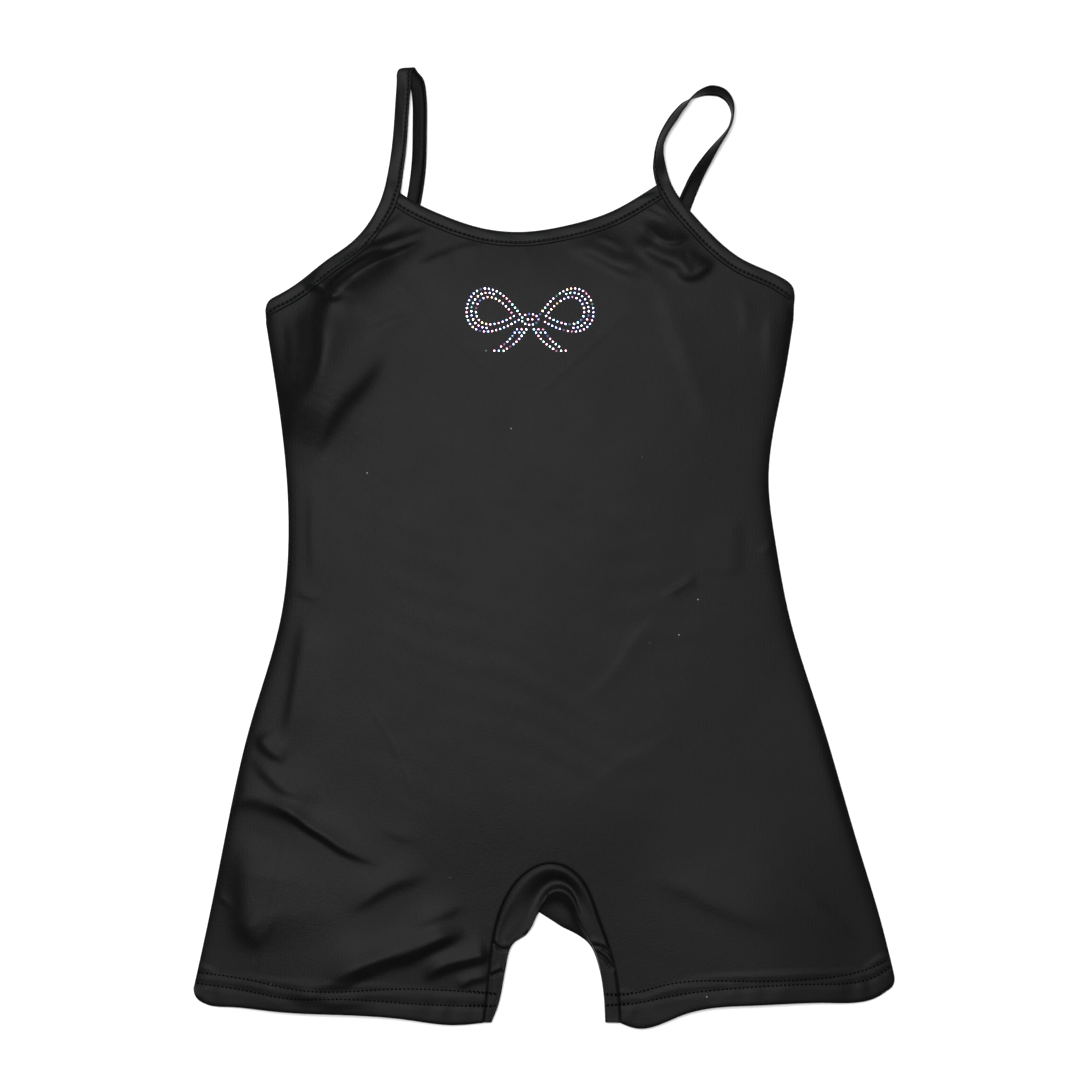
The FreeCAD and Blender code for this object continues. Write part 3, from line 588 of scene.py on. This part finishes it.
def texture(tree, kind, scale, coordinates, **values):
    """A texture node of a kind, laid over some coordinates."""
    node = tree.nodes.new("ShaderNodeTex" + kind)
    node.inputs["Scale"].default_value = scale
    for key, value in values.items():
        node.inputs[key].default_value = value
    tree.links.new(coordinates, node.inputs["Vector"])
    return node


def mapped(tree, where, change, value):
    """Coordinates that are turned or scaled."""
    mapping = tree.nodes.new("ShaderNodeMapping")
    mapping.inputs[change].default_value = value
    tree.links.new(where, mapping.inputs["Vector"])
    return mapping.outputs["Vector"]


def calculation(tree, operation, value, number):
    """A sum on a socket's value and a number."""
    node = tree.nodes.new("ShaderNodeMath")
    node.operation = operation
    node.inputs[1].default_value = number
    tree.links.new(value, node.inputs[0])
    return node


def relief(tree, height, strength, distance, below=None):
    """A bump's normal, on top of the one below it."""
    bump = tree.nodes.new("ShaderNodeBump")
    bump.inputs["Strength"].default_value = strength
    bump.inputs["Distance"].default_value = distance
    tree.links.new(height, bump.inputs["Height"])
    if below:
        tree.links.new(below, bump.inputs["Normal"])
    return bump.outputs["Normal"]


def colour_ramp(tree, value, low, high, dark, light):
    """A colour that runs from dark at the low value to light at the high one."""
    ramp = tree.nodes.new("ShaderNodeValToRGB")
    for element, at, colour in zip(ramp.color_ramp.elements, (low, high), (dark, light)):
        element.position = at
        element.color = (*colour, 1)
    tree.links.new(value, ramp.inputs["Fac"])
    return ramp.outputs["Color"]


def with_lint(tree, where, colour):
    """The colour, with a pale fleck of lint every few centimetres."""
    cells = texture(tree, "Voronoi", 42, where)
    fleck = calculation(tree, "LESS_THAN", cells.outputs["Distance"], 0.016)
    mix = tree.nodes.new("ShaderNodeMix")
    mix.data_type = "RGBA"
    mix.inputs["B"].default_value = (0.3, 0.3, 0.28, 1)
    tree.links.new(fleck.outputs[0], mix.inputs["Factor"])
    tree.links.new(colour, mix.inputs["A"])
    return mix.outputs["Result"]


def knit(name, dark, light, roughness, sheen, rib=0.00085, specular=0.5, turn=0.0, depth=1.0):
    """Fine warp knit: ribs, tiny loops, a little mottling and a soft satin gloss."""
    material, tree, shader = node_material(name)
    where = tree.nodes.new("ShaderNodeTexCoord").outputs["Object"]
    place = mapped(tree, where, "Rotation", (0, 0, turn))
    ribs = texture(tree, "Wave", math.pi / 10 / rib, place, Distortion=0.4)
    ribs.wave_type = "BANDS"
    ribs.bands_direction = "X"
    ribs.inputs["Detail"].default_value = 1.0
    loops = texture(tree, "Noise", 2400, place, Detail=2.0, Roughness=0.6)
    mottle = texture(tree, "Noise", 34, where, Detail=4.0, Roughness=0.55)
    streak = texture(tree, "Noise", 1.0, mapped(tree, where, "Scale", (760, 330, 330)), Detail=3.0)
    half = calculation(tree, "MULTIPLY", mottle.outputs["Fac"], 0.5)
    mix = calculation(tree, "MULTIPLY_ADD", streak.outputs["Fac"], 0.5)
    tree.links.new(half.outputs[0], mix.inputs[2])
    colour = colour_ramp(tree, mix.outputs[0], 0.36, 0.66, dark, light)
    tree.links.new(with_lint(tree, where, colour), shader.inputs["Base Color"])
    rough = tree.nodes.new("ShaderNodeMapRange")
    rough.inputs["To Min"].default_value = roughness - 0.05
    rough.inputs["To Max"].default_value = roughness + 0.05
    tree.links.new(mottle.outputs["Fac"], rough.inputs["Value"])
    tree.links.new(rough.outputs["Result"], shader.inputs["Roughness"])
    nap = texture(tree, "Noise", 850, place, Detail=3.0, Roughness=0.8)
    ribbed = relief(tree, ribs.outputs["Fac"], 0.28 * depth, 0.00006)
    looped = relief(tree, loops.outputs["Fac"], 0.25 * depth, 0.00005, ribbed)
    napped = relief(tree, nap.outputs["Fac"], 0.9 * depth, 0.00017, looped)
    tree.links.new(napped, shader.inputs["Normal"])
    shader.inputs["Specular IOR Level"].default_value = specular
    shader.inputs["Sheen Weight"].default_value = sheen
    shader.inputs["Sheen Roughness"].default_value = 0.3
    shader.inputs["Sheen Tint"].default_value = (0.8, 0.85, 1.0, 1.0)
    return material


knit_black = knit("knit_black", (0.0010, 0.0011, 0.0012), (0.0026, 0.0027, 0.0028), 0.46, 0.02,
                  specular=0.082)
binding_black = knit("binding_black", (0.0024, 0.0026, 0.0029), (0.0044, 0.0046, 0.0050), 0.48,
                     0.03, rib=0.0006, specular=0.086, depth=0.6)
# A darker, duller copy of binding_black for the straps' undersides: painted shade on the loop's inner
# face and on the tail.
under_painted_shade = knit("under_painted_shade", (0.0014, 0.0015, 0.0018), (0.0030, 0.0031, 0.0036), 0.5, 0.02,
                   rib=0.0006, specular=0.046, depth=0.6)
inside_black = knit("inside_black", (0.0010, 0.0010, 0.0011), (0.0024, 0.0024, 0.0026), 0.62,
                    0.02, specular=0.03)
thread_black = knit("thread_black", (0.0008, 0.0008, 0.0016), (0.0016, 0.0016, 0.0028), 0.5, 0.0,
                    rib=0.0002, specular=0.015, turn=0.8)
label_cloth = knit("label_cloth", (0.5, 0.5, 0.48), (0.62, 0.62, 0.6), 0.6, 0.1, rib=0.0003)


def stone_material(name, tint, roughness):
    """Foil-backed glass with a coloured, slightly uneven coating."""
    material, tree, shader = node_material(name)
    where = tree.nodes.new("ShaderNodeTexCoord").outputs["Object"]
    cells = texture(tree, "Noise", 900, where, Detail=1.0)
    half_tint = [part * 0.5 for part in tint]
    colour = colour_ramp(tree, cells.outputs["Fac"], 0.3, 0.7, half_tint, tint)
    tree.links.new(colour, shader.inputs["Base Color"])
    shader.inputs["Metallic"].default_value = 0.75
    shader.inputs["Roughness"].default_value = roughness
    shader.inputs["Coat Weight"].default_value = 0.8
    shader.inputs["Coat Roughness"].default_value = 0.03
    return material


STONE_TINTS = {
    "pink": (0.50, 0.16, 0.27), "blue": (0.15, 0.25, 0.62), "violet": (0.30, 0.20, 0.55),
    "aqua": (0.16, 0.44, 0.52), "gold": (0.50, 0.36, 0.16), "clear": (0.55, 0.57, 0.66),
    "rose": (0.40, 0.12, 0.15), "green": (0.18, 0.42, 0.28),
}
stone_glass = [stone_material("stone_" + key, tint, 0.12) for key, tint in STONE_TINTS.items()]


# ---- panels

HEM_CORNERS = np.array([(219.6, -274), (-219.0, -282)])
CORNER_RADIUS = 6.0


def rounded(outline, corner):
    """An outline with one corner replaced by a round one."""
    reach = np.linalg.norm(outline - corner, axis=1)
    turned = np.roll(outline, len(outline) // 2 - int(np.argmin(reach)), axis=0)
    close = np.where(np.linalg.norm(turned - corner, axis=1) < CORNER_RADIUS)[0]
    first, last = close[0] - 1, close[-1] + 1
    t = np.linspace(0, 1, 9)[1:-1, None]
    bend = (1 - t) ** 2 * turned[first] + 2 * t * (1 - t) * corner + t ** 2 * turned[last]
    return np.vstack([turned[:first + 1], bend, turned[last:]])


def round_hems(outline):
    """An outline whose outer hem corners are round."""
    for corner in HEM_CORNERS:
        outline = rounded(outline, corner)
    return outline


front_outline = round_hems(np.vstack([
    side["left"], armhole["left"][2:14], offset(armhole["left"], BITE)[14:-6],
    offset(front_neck, BITE)[3:-3], offset(armhole["right"], BITE)[6:-14],
    armhole["right"][-14:-2], side["right"], hem["right"][1:-1], crotch_seam, hem["left"][1:-1],
]))


def front_outer(x, y):
    """The front panel's outer face."""
    return front_top(x, y) + hem_lift(x, y)


def front_inner(x, y):
    """The front panel's inner face."""
    return front_top(x, y) - FABRIC


front_panel = cloth("front_panel_cloth", front_outline, 1.8, front_outer, front_inner, knit_black)

back_outline = round_hems(np.vstack([
    side["left"], offset(back_armhole["left"], BITE)[1:-1], offset(back_neck, BITE)[1:-1],
    offset(back_armhole["right"], BITE)[1:-1], side["right"], hem["right"][1:-1], crotch_seam,
    hem["left"][1:-1],
]))


def back_inner(x, y):
    """The back panel's inner face, barely wavy."""
    return FABRIC + 0.25 + 0.2 * np.sin(x / 37) * np.sin(y / 52)


def back_outer(x, y):
    """The back panel's outer face, just above the floor."""
    return 0.12 + 0.1 * np.sin(x / 31 + 1) * np.sin(y / 43)


back_panel = cloth("back_panel_cloth", back_outline, 4.0, back_inner, back_outer, inside_black)
on_suit(front_panel, "front_panel")
on_suit(back_panel, "back_panel")


# ---- gusset

# The crest of its front half, which stands above the back half. Beside the legs it is close
# to the fold.
gusset_ridge = smooth([(-33, -296.4), (-29, -286), (-25.6, -270), (-23, -256), (-19.4, -246.6),
                       (-9.4, -239), (-6, -232), (-2.4, -224), (2, -217), (7.4, -213.6),
                       (13, -214.4), (17.5, -219), (21, -229), (26.6, -241.5), (31.6, -251),
                       (34.6, -262), (37.2, -280), (39, -296.4)])
GUSSET_SECTIONS, GUSSET_STEPS = 300, 40
ON_FLOOR = 0.02
# creases across the inner legs
GUSSET_CREASES = (((-33, -245), (-27, -250.6), (-20, -249.6)), ((-34, -267.6), (-25.4, -263.6)),
                  ((27, -247.6), (40, -252.6), (42.6, -257)), ((31, -251), (38, -257), (44, -265)))


def gusset_grid():
    """The crotch gusset: down from the front seam, over its crest, and under to the back seam."""
    seam = resample(crotch_seam, GUSSET_SECTIONS)
    ridge = resample(gusset_ridge, GUSSET_SECTIONS)
    fold = resample(crotch_fold, GUSSET_SECTIONS)
    top = front_top(seam[:, 0], seam[:, 1]) + 0.05
    grid = []
    for i in range(GUSSET_SECTIONS):
        share = i / (GUSSET_SECTIONS - 1)
        to_ridge, to_fold = ridge[i] - seam[i], fold[i] - ridge[i]
        span = max(np.linalg.norm(to_ridge), 0.5)
        hollow = hump(share - 0.505, 0.11)
        wave = 0.12 * math.sin(share * 37)
        crest = top[i] + 0.2 - 0.5 * hollow
        key = [(seam[i], top[i]),
               (seam[i] + to_ridge * min(1.0 / span, 0.3), top[i] + 0.42),
               (seam[i] + to_ridge * 0.3, top[i] + 0.38 - 0.2 * hollow + wave),
               (seam[i] + to_ridge * 0.68, top[i] + 0.3 - 3.1 * hollow),
               (seam[i] + to_ridge * 0.88, crest - 1.3 * hollow),
               (ridge[i], crest),
               (ridge[i] + to_fold * 0.2, crest - 0.10 * np.linalg.norm(to_fold)),
               (ridge[i] + to_fold * 0.8, 1.5),
               (fold[i], 0.55),
               (ridge[i] + to_fold * 0.9, 0.04),
               (ridge[i] + to_fold * 0.3, ON_FLOOR),
               (seam[i] + to_ridge * 0.3, ON_FLOOR),
               (seam[i], ON_FLOOR)]
        key = [(*place, height) for place, height in key]
        grid.append(resample(smooth(key, 0.25), GUSSET_STEPS))
    grid = np.array(grid)
    upper = blend(grid[..., 2], 1.2, 2.2)
    for crease in GUSSET_CREASES:
        signed, along = nearest(smooth(crease, 1.5) if len(crease) > 2 else np.array(crease),
                                grid[..., 0], grid[..., 1])
        crease_depth = 0.9 * hump(signed, 0.9) - 0.35 * hump(signed - 2.4, 1.8)
        grid[..., 2] -= upper * fading(along, 0.15, 0.2) * crease_depth
    grid[..., 2] = np.maximum(grid[..., 2], ON_FLOOR)
    return grid[:, ::-1]


gusset_points = gusset_grid()
GUSSET_TOP = gusset_points[:, GUSSET_STEPS // 2:].reshape(-1, 3)
gusset = sheet_grid("crotch_gusset_cloth", gusset_points, knit_black, 0.35)
on_suit(gusset, "crotch_gusset")


# ---- bindings and their stitches


def armhole_inner(which):
    """The free edge of a front armhole binding, which meets the side seam at a slant."""
    edge = armhole[which]
    if which == "left":
        return np.vstack([smooth([(156, 152.8), (151, 155.6)]), offset(edge, WIDTH)[16:]])
    wider = WIDTH + 1.2 * blend(edge[:, 1], 205, 217)
    inner = edge + left_of(edge) * wider[:, None]
    return np.vstack([inner[:-16], smooth([(-168.5, 146.2), (-174, 143)])])


def back_surface(x, y):
    """What the back's bindings sit on."""
    return np.full(np.shape(x), 0.8)


def over_neck(x, y):
    """The armhole bindings climb over the ends of the neck binding."""
    return front_top(x, y) + 0.12 + 0.6 * blend(y, 206, 216)


def under_straps(x, y):
    """The neck binding's ends dip under the straps."""
    return front_top(x, y) - 1.0 * blend(y, 217, 223)


def edge_on(line, surface):
    """A plane line laid on a surface."""
    return np.column_stack([line, surface(line[:, 0], line[:, 1])])


def stitched_binding(node, outer, inner, surface, stitch_node):
    """A binding and the row of stitches that holds it."""
    count = int(lengths(outer)[-1] / STRIP_STEP)
    outer = edge_on(resample(outer, count), surface)
    inner = edge_on(resample(inner, count), surface)
    up = np.tile((0.0, 0.0, 1.0), (count, 1))
    weight = np.zeros(count)
    strip = folded_strip(node + "_strip", outer, inner, up, weight, surface, binding_black)
    row = groove_row(outer, inner, up, weight, surface)
    stitches = thread(stitch_node + "_thread", [row], thread_black)
    on_suit(strip, node)
    on_suit(stitches, stitch_node)


def run_on(line, start, end):
    """A line with a straight piece added at each end."""
    first, last = line[0] - line[1], line[-1] - line[-2]
    before = line[0] + first / np.linalg.norm(first) * start
    after = line[-1] + last / np.linalg.norm(last) * end
    return np.vstack([before, line, after])


stitched_binding("front_neck_binding", front_neck, run_on(offset(front_neck, WIDTH), 2, 2),
                 under_straps, "front_neck_stitching")
stitched_binding("back_neck_binding", back_neck, offset(back_neck, WIDTH), back_surface,
                 "back_neck_stitching")
back_free_edge = {
    "left": np.vstack([[(153.9, 137.4)], offset(back_armhole["left"], WIDTH)[3:]]),
    "right": np.vstack([offset(back_armhole["right"], WIDTH)[:-1], [(-173.2, 137)]]),
}
for which in ("left", "right"):
    stitched_binding(f"{which}_back_armhole_binding", back_armhole[which],
                     back_free_edge[which], back_surface, f"{which}_back_armhole_stitching")


# ---- hem stitches


def leg_top(x, y):
    """The front's outer surface on the legs, and the gusset's between its seam and its fold."""
    on_gusset = inside(np.vstack([crotch_seam, crotch_fold[::-1]]), np.column_stack([x, y]))
    places = np.argmin(np.hypot(x[:, None] - GUSSET_TOP[:, 0], y[:, None] - GUSSET_TOP[:, 1]), axis=1)
    return np.where(on_gusset, GUSSET_TOP[places, 2], front_outer(x, y))


for which, curves in hem_rows.items():
    rows = []
    for line in curves:
        rows.append(surface_row(resample(line, 400), leg_top, 0.08))
        crossing = line[np.abs(line[:, 0] - 3) < 52] + (0.0, 0.7)
        rows.append(surface_row(resample(crossing, 60) + (0.9, 0.0), leg_top, 0.12))
    stitches = thread(f"{which}_hem_stitching_thread", rows, thread_black, pitch=2.6, radius=0.42,
                      gap=0.9, arch=0.1)
    on_suit(stitches, f"{which}_hem_stitching")


# ---- straps

LOW = 1.3                        # the middle of a strap that lies flat
ROOT_HEIGHT = 3.35               # a strap's middle where it leaves the suit
FOLD_RADIUS = 1.35               # at the top of the right strap's loop
STRAP_TOP = 299.1
OVERLAP = 4                      # cross-sections of a binding that its strap takes over
SMOOTHING = 260                  # passes that even out where they meet


def on_edge(tilt):
    """The height of a tilted strap's middle when its lower edge lies low."""
    return LOW + WIDTH / 2 * math.sin(math.radians(tilt))


# A strap's stations run from its front root, round the loop and down the tail to the back:
# (x, y, z, turn, tilt), where turn is the direction of its width and tilt raises its inner edge.
left_strap_stations = (
    [(72.7, 231, ROOT_HEIGHT, 4, 8), (71.8, 237, 3.5, 0, 28)]
    + [(x, y, on_edge(tilt), turn, tilt) for x, y, turn, tilt in (
        (71.3, 244, 0, 50), (71.9, 251, -8, 62), (75.2, 259.5, -24, 60), (80.8, 268.5, -34, 57),
        (87.2, 276.4, -42, 68), (95, 282.2, -62, 104), (104, 285, -82, 128),
        (111.4, 283.2, -112, 124), (116, 277.6, -145, 110), (117.3, 270.5, -172, 95),
        (115.4, 262.5, -198, 94), (110.4, 255, -212, 106), (104.8, 247.4, -212, 122),
        (99.6, 239.4, -206, 138), (95.2, 232, -198, 152), (92.4, 226, -184, 165))]
    + [(89.4, 219, LOW, -186, 178), (86, 210, LOW, -196, 180), (81.5, 196, LOW, -199, 180),
       (76.4, 179, LOW, -200, 180), (70.2, 157.6, LOW, -203.5, 180)])
right_strap_stations = (
    [(-93.2, 233, ROOT_HEIGHT, -9, 0), (-91.6, 243, ROOT_HEIGHT, -7, 6),
     (-90.2, 256, ROOT_HEIGHT, -5, 14), (-89.2, 270, ROOT_HEIGHT, -3, 18),
     (-88.2, 284, LOW + 2 * FOLD_RADIUS - 0.1, -1, 15), (-87.6, 293, LOW + 2 * FOLD_RADIUS, 2, 5)]
    + [(-87 + 2.4 * (90 - angle) / 180,
        STRAP_TOP - FOLD_RADIUS * (1 - math.cos(math.radians(angle))),
        LOW + FOLD_RADIUS * (1 + math.sin(math.radians(angle))), 6, 0)
       for angle in (90, 45, 0, -45, -90)]
    + [(x, y, on_edge(tilt), turn, tilt) for x, y, turn, tilt in (
        (-80.4, 292, 12, 4), (-78.6, 285, 7, 11), (-77.9, 276, 2, 15), (-77.9, 262, 0, 15),
        (-78.1, 248, 0, 15), (-78.8, 236, -2, 8), (-80, 226.2, -4, 0))]
    + [(-81.8, 216, LOW, -8, 0), (-85, 205, LOW, -14, 0), (-89.4, 192, LOW, -17, 0),
       (-95.6, 175.4, LOW, -20, 0)])


def strap_frames(stations):
    """Middle, across and outward vectors along a strap."""
    stations = np.array(stations, float)
    path = smooth(stations[:, :3], 0.5)
    knots = [int(np.argmin(np.linalg.norm(path - s[:3], axis=1))) for s in stations]
    turn = np.radians(np.interp(np.arange(len(path)), knots, stations[:, 3]))
    tilt = np.radians(np.interp(np.arange(len(path)), knots, stations[:, 4]))
    across = np.stack([np.cos(turn) * np.cos(tilt), np.sin(turn) * np.cos(tilt), np.sin(tilt)], 1)
    outward = np.cross(across, np.gradient(path, axis=0))
    outward /= np.linalg.norm(outward, axis=1)[:, None]
    return path, across, outward


def strip_edges(which, stations):
    """Both edges of an armhole binding and its strap, what is up, and where it is a strap.

    They are one folded strip, from the underarm up the armhole, round the strap's loop and
    down to the back.
    """
    outer, inner = armhole[which], armhole_inner(which)
    side_sign = 1
    if which == "right":
        outer, inner = outer[::-1], inner[::-1]
        side_sign = -1
    count = int(lengths(outer)[-1] / STRIP_STEP)
    outer = edge_on(resample(outer, count), over_neck)[:-OVERLAP]
    inner = edge_on(resample(inner, count), over_neck)[:-OVERLAP]
    path, across, outward = strap_frames(stations)
    reach = across * (WIDTH / 2 * side_sign)
    joined = [np.vstack([outer, path + reach]), np.vstack([inner, path - reach]),
              np.vstack([np.tile((0.0, 0.0, 1.0), (len(outer), 1)), outward])]
    along = lengths((joined[0] + joined[1]) / 2)
    at = np.linspace(0, along[-1], int(along[-1] / STRIP_STEP))
    outer, inner, up = (points_at(part, along, at) for part in joined)
    junction = along[count - OVERLAP - 1]
    near = blend(at, junction - 9, junction - 5) * (1 - blend(at, junction + 11, junction + 16))
    for _ in range(SMOOTHING):
        for part in (outer, inner, up):
            part[1:-1] += 0.5 * near[1:-1, None] * ((part[:-2] + part[2:]) / 2 - part[1:-1])
    up /= np.linalg.norm(up, axis=1)[:, None]
    weight = blend(at, junction - 3, junction + 7)
    return outer, inner, up, weight


def strap(which, stations):
    """An armhole binding that runs on as the shoulder strap, and its stitches."""
    outer, inner, up, weight = strip_edges(which, stations)
    strip = folded_strip(f"{which}_strap_strip", outer, inner, up, weight, over_neck,
                         binding_black)
    # Beneath the binding the strip takes inside_black; beneath the strap it takes the darker copy of the
    # binding knit, painted shade on the loop's inner face and on the tail.
    strip.data.materials.append(inside_black)
    strip.data.materials.append(under_painted_shade)
    around = len(BINDING_SHAPE)
    face = np.arange(len(strip.data.polygons))
    beneath = around - 1 - face % around >= UNDER_START
    below = np.where(weight[np.minimum(face // around, len(weight) - 1)] < 0.5, 1, 2)
    strip.data.polygons.foreach_set("material_index", np.where(beneath, below, 0))
    row = groove_row(outer, inner, up, weight, over_neck)
    under = groove_row(outer, inner, up, weight, over_neck, under=True)
    root = int(np.argmax(weight > 0.35))    # where the stitches become the strap's
    on_armhole = thread(f"{which}_armhole_stitching_thread",
                        [(row[0][:root], row[1][:root])], thread_black)
    on_suit(on_armhole, f"{which}_armhole_stitching")
    on_strap = thread(f"{which}_strap_stitching_thread",
                      [(line[root:], ups[root:]) for line, ups in (row, under)], thread_black,
                      radius=0.32, gap=1.5)
    for piece in (strip, on_strap):
        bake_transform(piece)
    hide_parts(f"{which}_armhole_binding", f"{which}_strap", f"{which}_strap_tail",
                f"{which}_strap_elastic")
    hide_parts(f"{which}_strap_stitching")


strap("left", left_strap_stations)
strap("right", right_strap_stations)


# ---- label and inner seams


def seam_allowance(node, line, base):
    """A trimmed and overlocked seam allowance inside the suit, with a wavy cut edge."""
    line = resample(line, int(lengths(line)[-1] / 1.2))
    along = lengths(line)
    rows = []
    for share in np.linspace(0, 1, 5):
        reach = 1.8 + 3.8 * share
        place = line + left_of(line) * (reach + 0.25 * np.sin(along / 2.1) * share)[:, None]
        z = base(place[:, 0], place[:, 1]) + 0.06 * np.sin(along / 1.7) * share
        rows.append(np.column_stack([place, z]))
    piece = sheet_grid(node + "_allowance", np.stack(rows, axis=1)[:, ::-1], inside_black, 0.5)
    on_suit(piece, node)


def on_back(x, y):
    """Just above the back panel."""
    return back_inner(x, y) + 0.6


def under_front(x, y):
    """Just under the front panel."""
    return front_top(x, y) - FABRIC - 0.12


seam_allowance("left_side_seam", side["left"][14:-6], on_back)
seam_allowance("right_side_seam", side["right"][6:-14], on_back)
seam_allowance("front_gusset_seam", crotch_seam[28:-28], under_front)
seam_allowance("back_gusset_seam", crotch_seam[28:-28], on_back)


def label():
    """A blank tab whose free end curls up a little."""
    low = np.array(LABEL_LOW) / MM
    high = np.array(LABEL_HIGH) / MM
    rows = []
    for x in np.linspace(low[0], high[0] - 2, 40):
        curl = 0.3 * blend(x, low[0] + 12, low[0])
        rows.append([(x, low[1] + (high[1] - low[1]) * share,
                      low[2] + 0.75 + curl + 0.05 * math.sin(x / 3 + share * 3))
                     for share in np.linspace(0, 1, 16)])
    return sheet_grid("care_label_cloth", rows, label_cloth, 0.25)


tab = label()
on_suit(tab, "care_label")


# ---- stone bow

BOW = np.array((-9.0, 142.0))
STONE_PITCH = 2.6


def bow_loop(direction, inset):
    """One of the bow's loops, or a smaller one inside it."""
    turn = np.linspace(0, 2 * math.pi, 49)
    swell = (1 - np.cos(turn)) / 2
    x = direction * (5 + inset + (35.0 - 2.1 * inset) * swell)
    y = (17.5 - inset * 1.25) * np.sin(turn) * np.sqrt(swell)
    tilt = math.radians(12.0) * direction
    return np.stack([x * math.cos(tilt) - y * math.sin(tilt),
                     x * math.sin(tilt) + y * math.cos(tilt)], axis=1)


def bow_tail(direction, shift):
    """One of the bow's tails, or one beside it."""
    return smooth([(direction * (2.4 + shift), -6.2), (direction * (8 + shift), -13.5),
                   (direction * (16.5 + shift), -19.5)], 0.5)


def bow_spots():
    """Where the stones sit: rows along the bow's lines, a pitch apart and never closer."""
    turn = np.linspace(0, 2 * math.pi, 60)
    rows = [np.stack([5.2 * np.cos(turn), 3.4 * np.sin(turn)], axis=1),
            np.array([(-1.3, 0.0), (1.4, 0.0)])]
    for direction in (-1, 1):
        rows += [bow_loop(direction, STONE_PITCH * row) for row in range(3)]
        rows += [bow_tail(direction, STONE_PITCH * 1.1 * row) for row in range(3)]
    spots = []
    for row in rows:
        count = max(2, int(round(lengths(row)[-1] / STONE_PITCH)) + 1)
        for spot in resample(row, count):
            if all(np.linalg.norm(spot - other) > 0.9 * STONE_PITCH for other in spots):
                spots.append(spot)
    return np.array(spots) + BOW


def stone_bow():
    """Faceted stones: a girdle, eight sloping kites and a flat table."""
    rings = ((0.98, 0.0, 0.0), (1.0, 0.16, 0.0), (0.80, 0.48, 0.5), (0.52, 0.74, 0.0))
    points, faces, tints = [], [], []
    spots = bow_spots()
    grounds = front_top(spots[:, 0], spots[:, 1])
    for spot, ground in zip(spots, grounds):
        lean = RNG.normal(0, 0.05, 2)
        twist = RNG.uniform(0, math.pi / 4)
        tint = int(RNG.choice(len(stone_glass), p=(0.2, 0.2, 0.16, 0.14, 0.06, 0.16, 0.05, 0.03)))
        first = len(points)
        for radius, height, shift in rings:
            for k in range(8):
                turn = twist + (k + shift) * math.pi / 4
                x, y = radius * math.cos(turn), radius * math.sin(turn)
                points.append((spot[0] + x, spot[1] + y,
                               ground + 0.03 + height + lean[0] * x + lean[1] * y))
        for level in range(3):
            for k in range(8):
                n = (k + 1) % 8
                a, b = first + level * 8, first + (level + 1) * 8
                if level == 0:
                    faces.append((a + k, a + n, b + n, b + k))
                    tints.append(tint)
                elif level == 1:
                    faces += [(a + k, a + n, b + k), (b + k, a + n, b + n)]
                    tints += [tint, (tint + 1) % len(stone_glass)]
                else:
                    before = (k - 1) % 8
                    faces += [(a + k, b + n, b + k), (a + before, a + k, b + k)]
                    tints += [tint, tint]
        faces.append(tuple(first + 24 + k for k in range(8)))
        tints.append(tint)
        faces.append(tuple(first + k for k in range(8))[::-1])
        tints.append(tint)
    piece = make("rhinestone_bow_stones", points, faces, stone_glass[0], smooth_shading=False)
    for material in stone_glass[1:]:
        piece.data.materials.append(material)
    piece.data.polygons.foreach_set("material_index", tints)
    return piece


on_suit(stone_bow(), "rhinestone_bow")


# ---- floor, light and camera

floor_material, _, floor_shader = node_material("studio_floor")
floor_shader.inputs["Base Color"].default_value = (0.92, 0.92, 0.92, 1)
floor_shader.inputs["Roughness"].default_value = 0.9
floor_shader.inputs["Specular IOR Level"].default_value = 0.1
bpy.ops.mesh.primitive_plane_add(size=8.0, location=(0, 0, -0.0004))
floor = bpy.context.object
floor.name = "studio_floor"
floor.data.materials.append(floor_material)


def area_light(name, place, size, power):
    """A round soft light, turned to the middle of the suit."""
    lamp = bpy.data.lights.new(name, "AREA")
    lamp.shape = "DISK"
    lamp.size = size
    lamp.energy = power
    holder = bpy.data.objects.new(name, lamp)
    holder.location = place
    holder.rotation_euler = (-Vector(place)).to_track_quat("-Z", "Y").to_euler()
    bpy.context.scene.collection.objects.link(holder)


# name, place, size in metres and power in watts
area_light("overhead_softbox", (-0.25, 0.35, 3.1), 1.5, 118)
area_light("side_fill", (-2.6, 1.4, 1.5), 1.2, 3)

world = bpy.data.worlds.new("studio")
bpy.context.scene.world = world
world.use_nodes = True
background = world.node_tree.nodes["Background"]
background.inputs["Color"].default_value = (1, 1, 1, 1)
background.inputs["Strength"].default_value = 0.3

lens = bpy.data.cameras.new("camera")
lens.sensor_width = 36.0
lens.lens = 128.0
camera = bpy.data.objects.new("camera", lens)
camera.location = (-0.0028, 0.0047, 2.4)
bpy.context.scene.collection.objects.link(camera)
bpy.context.scene.camera = camera
bpy.context.scene.view_settings.view_transform = "Standard"
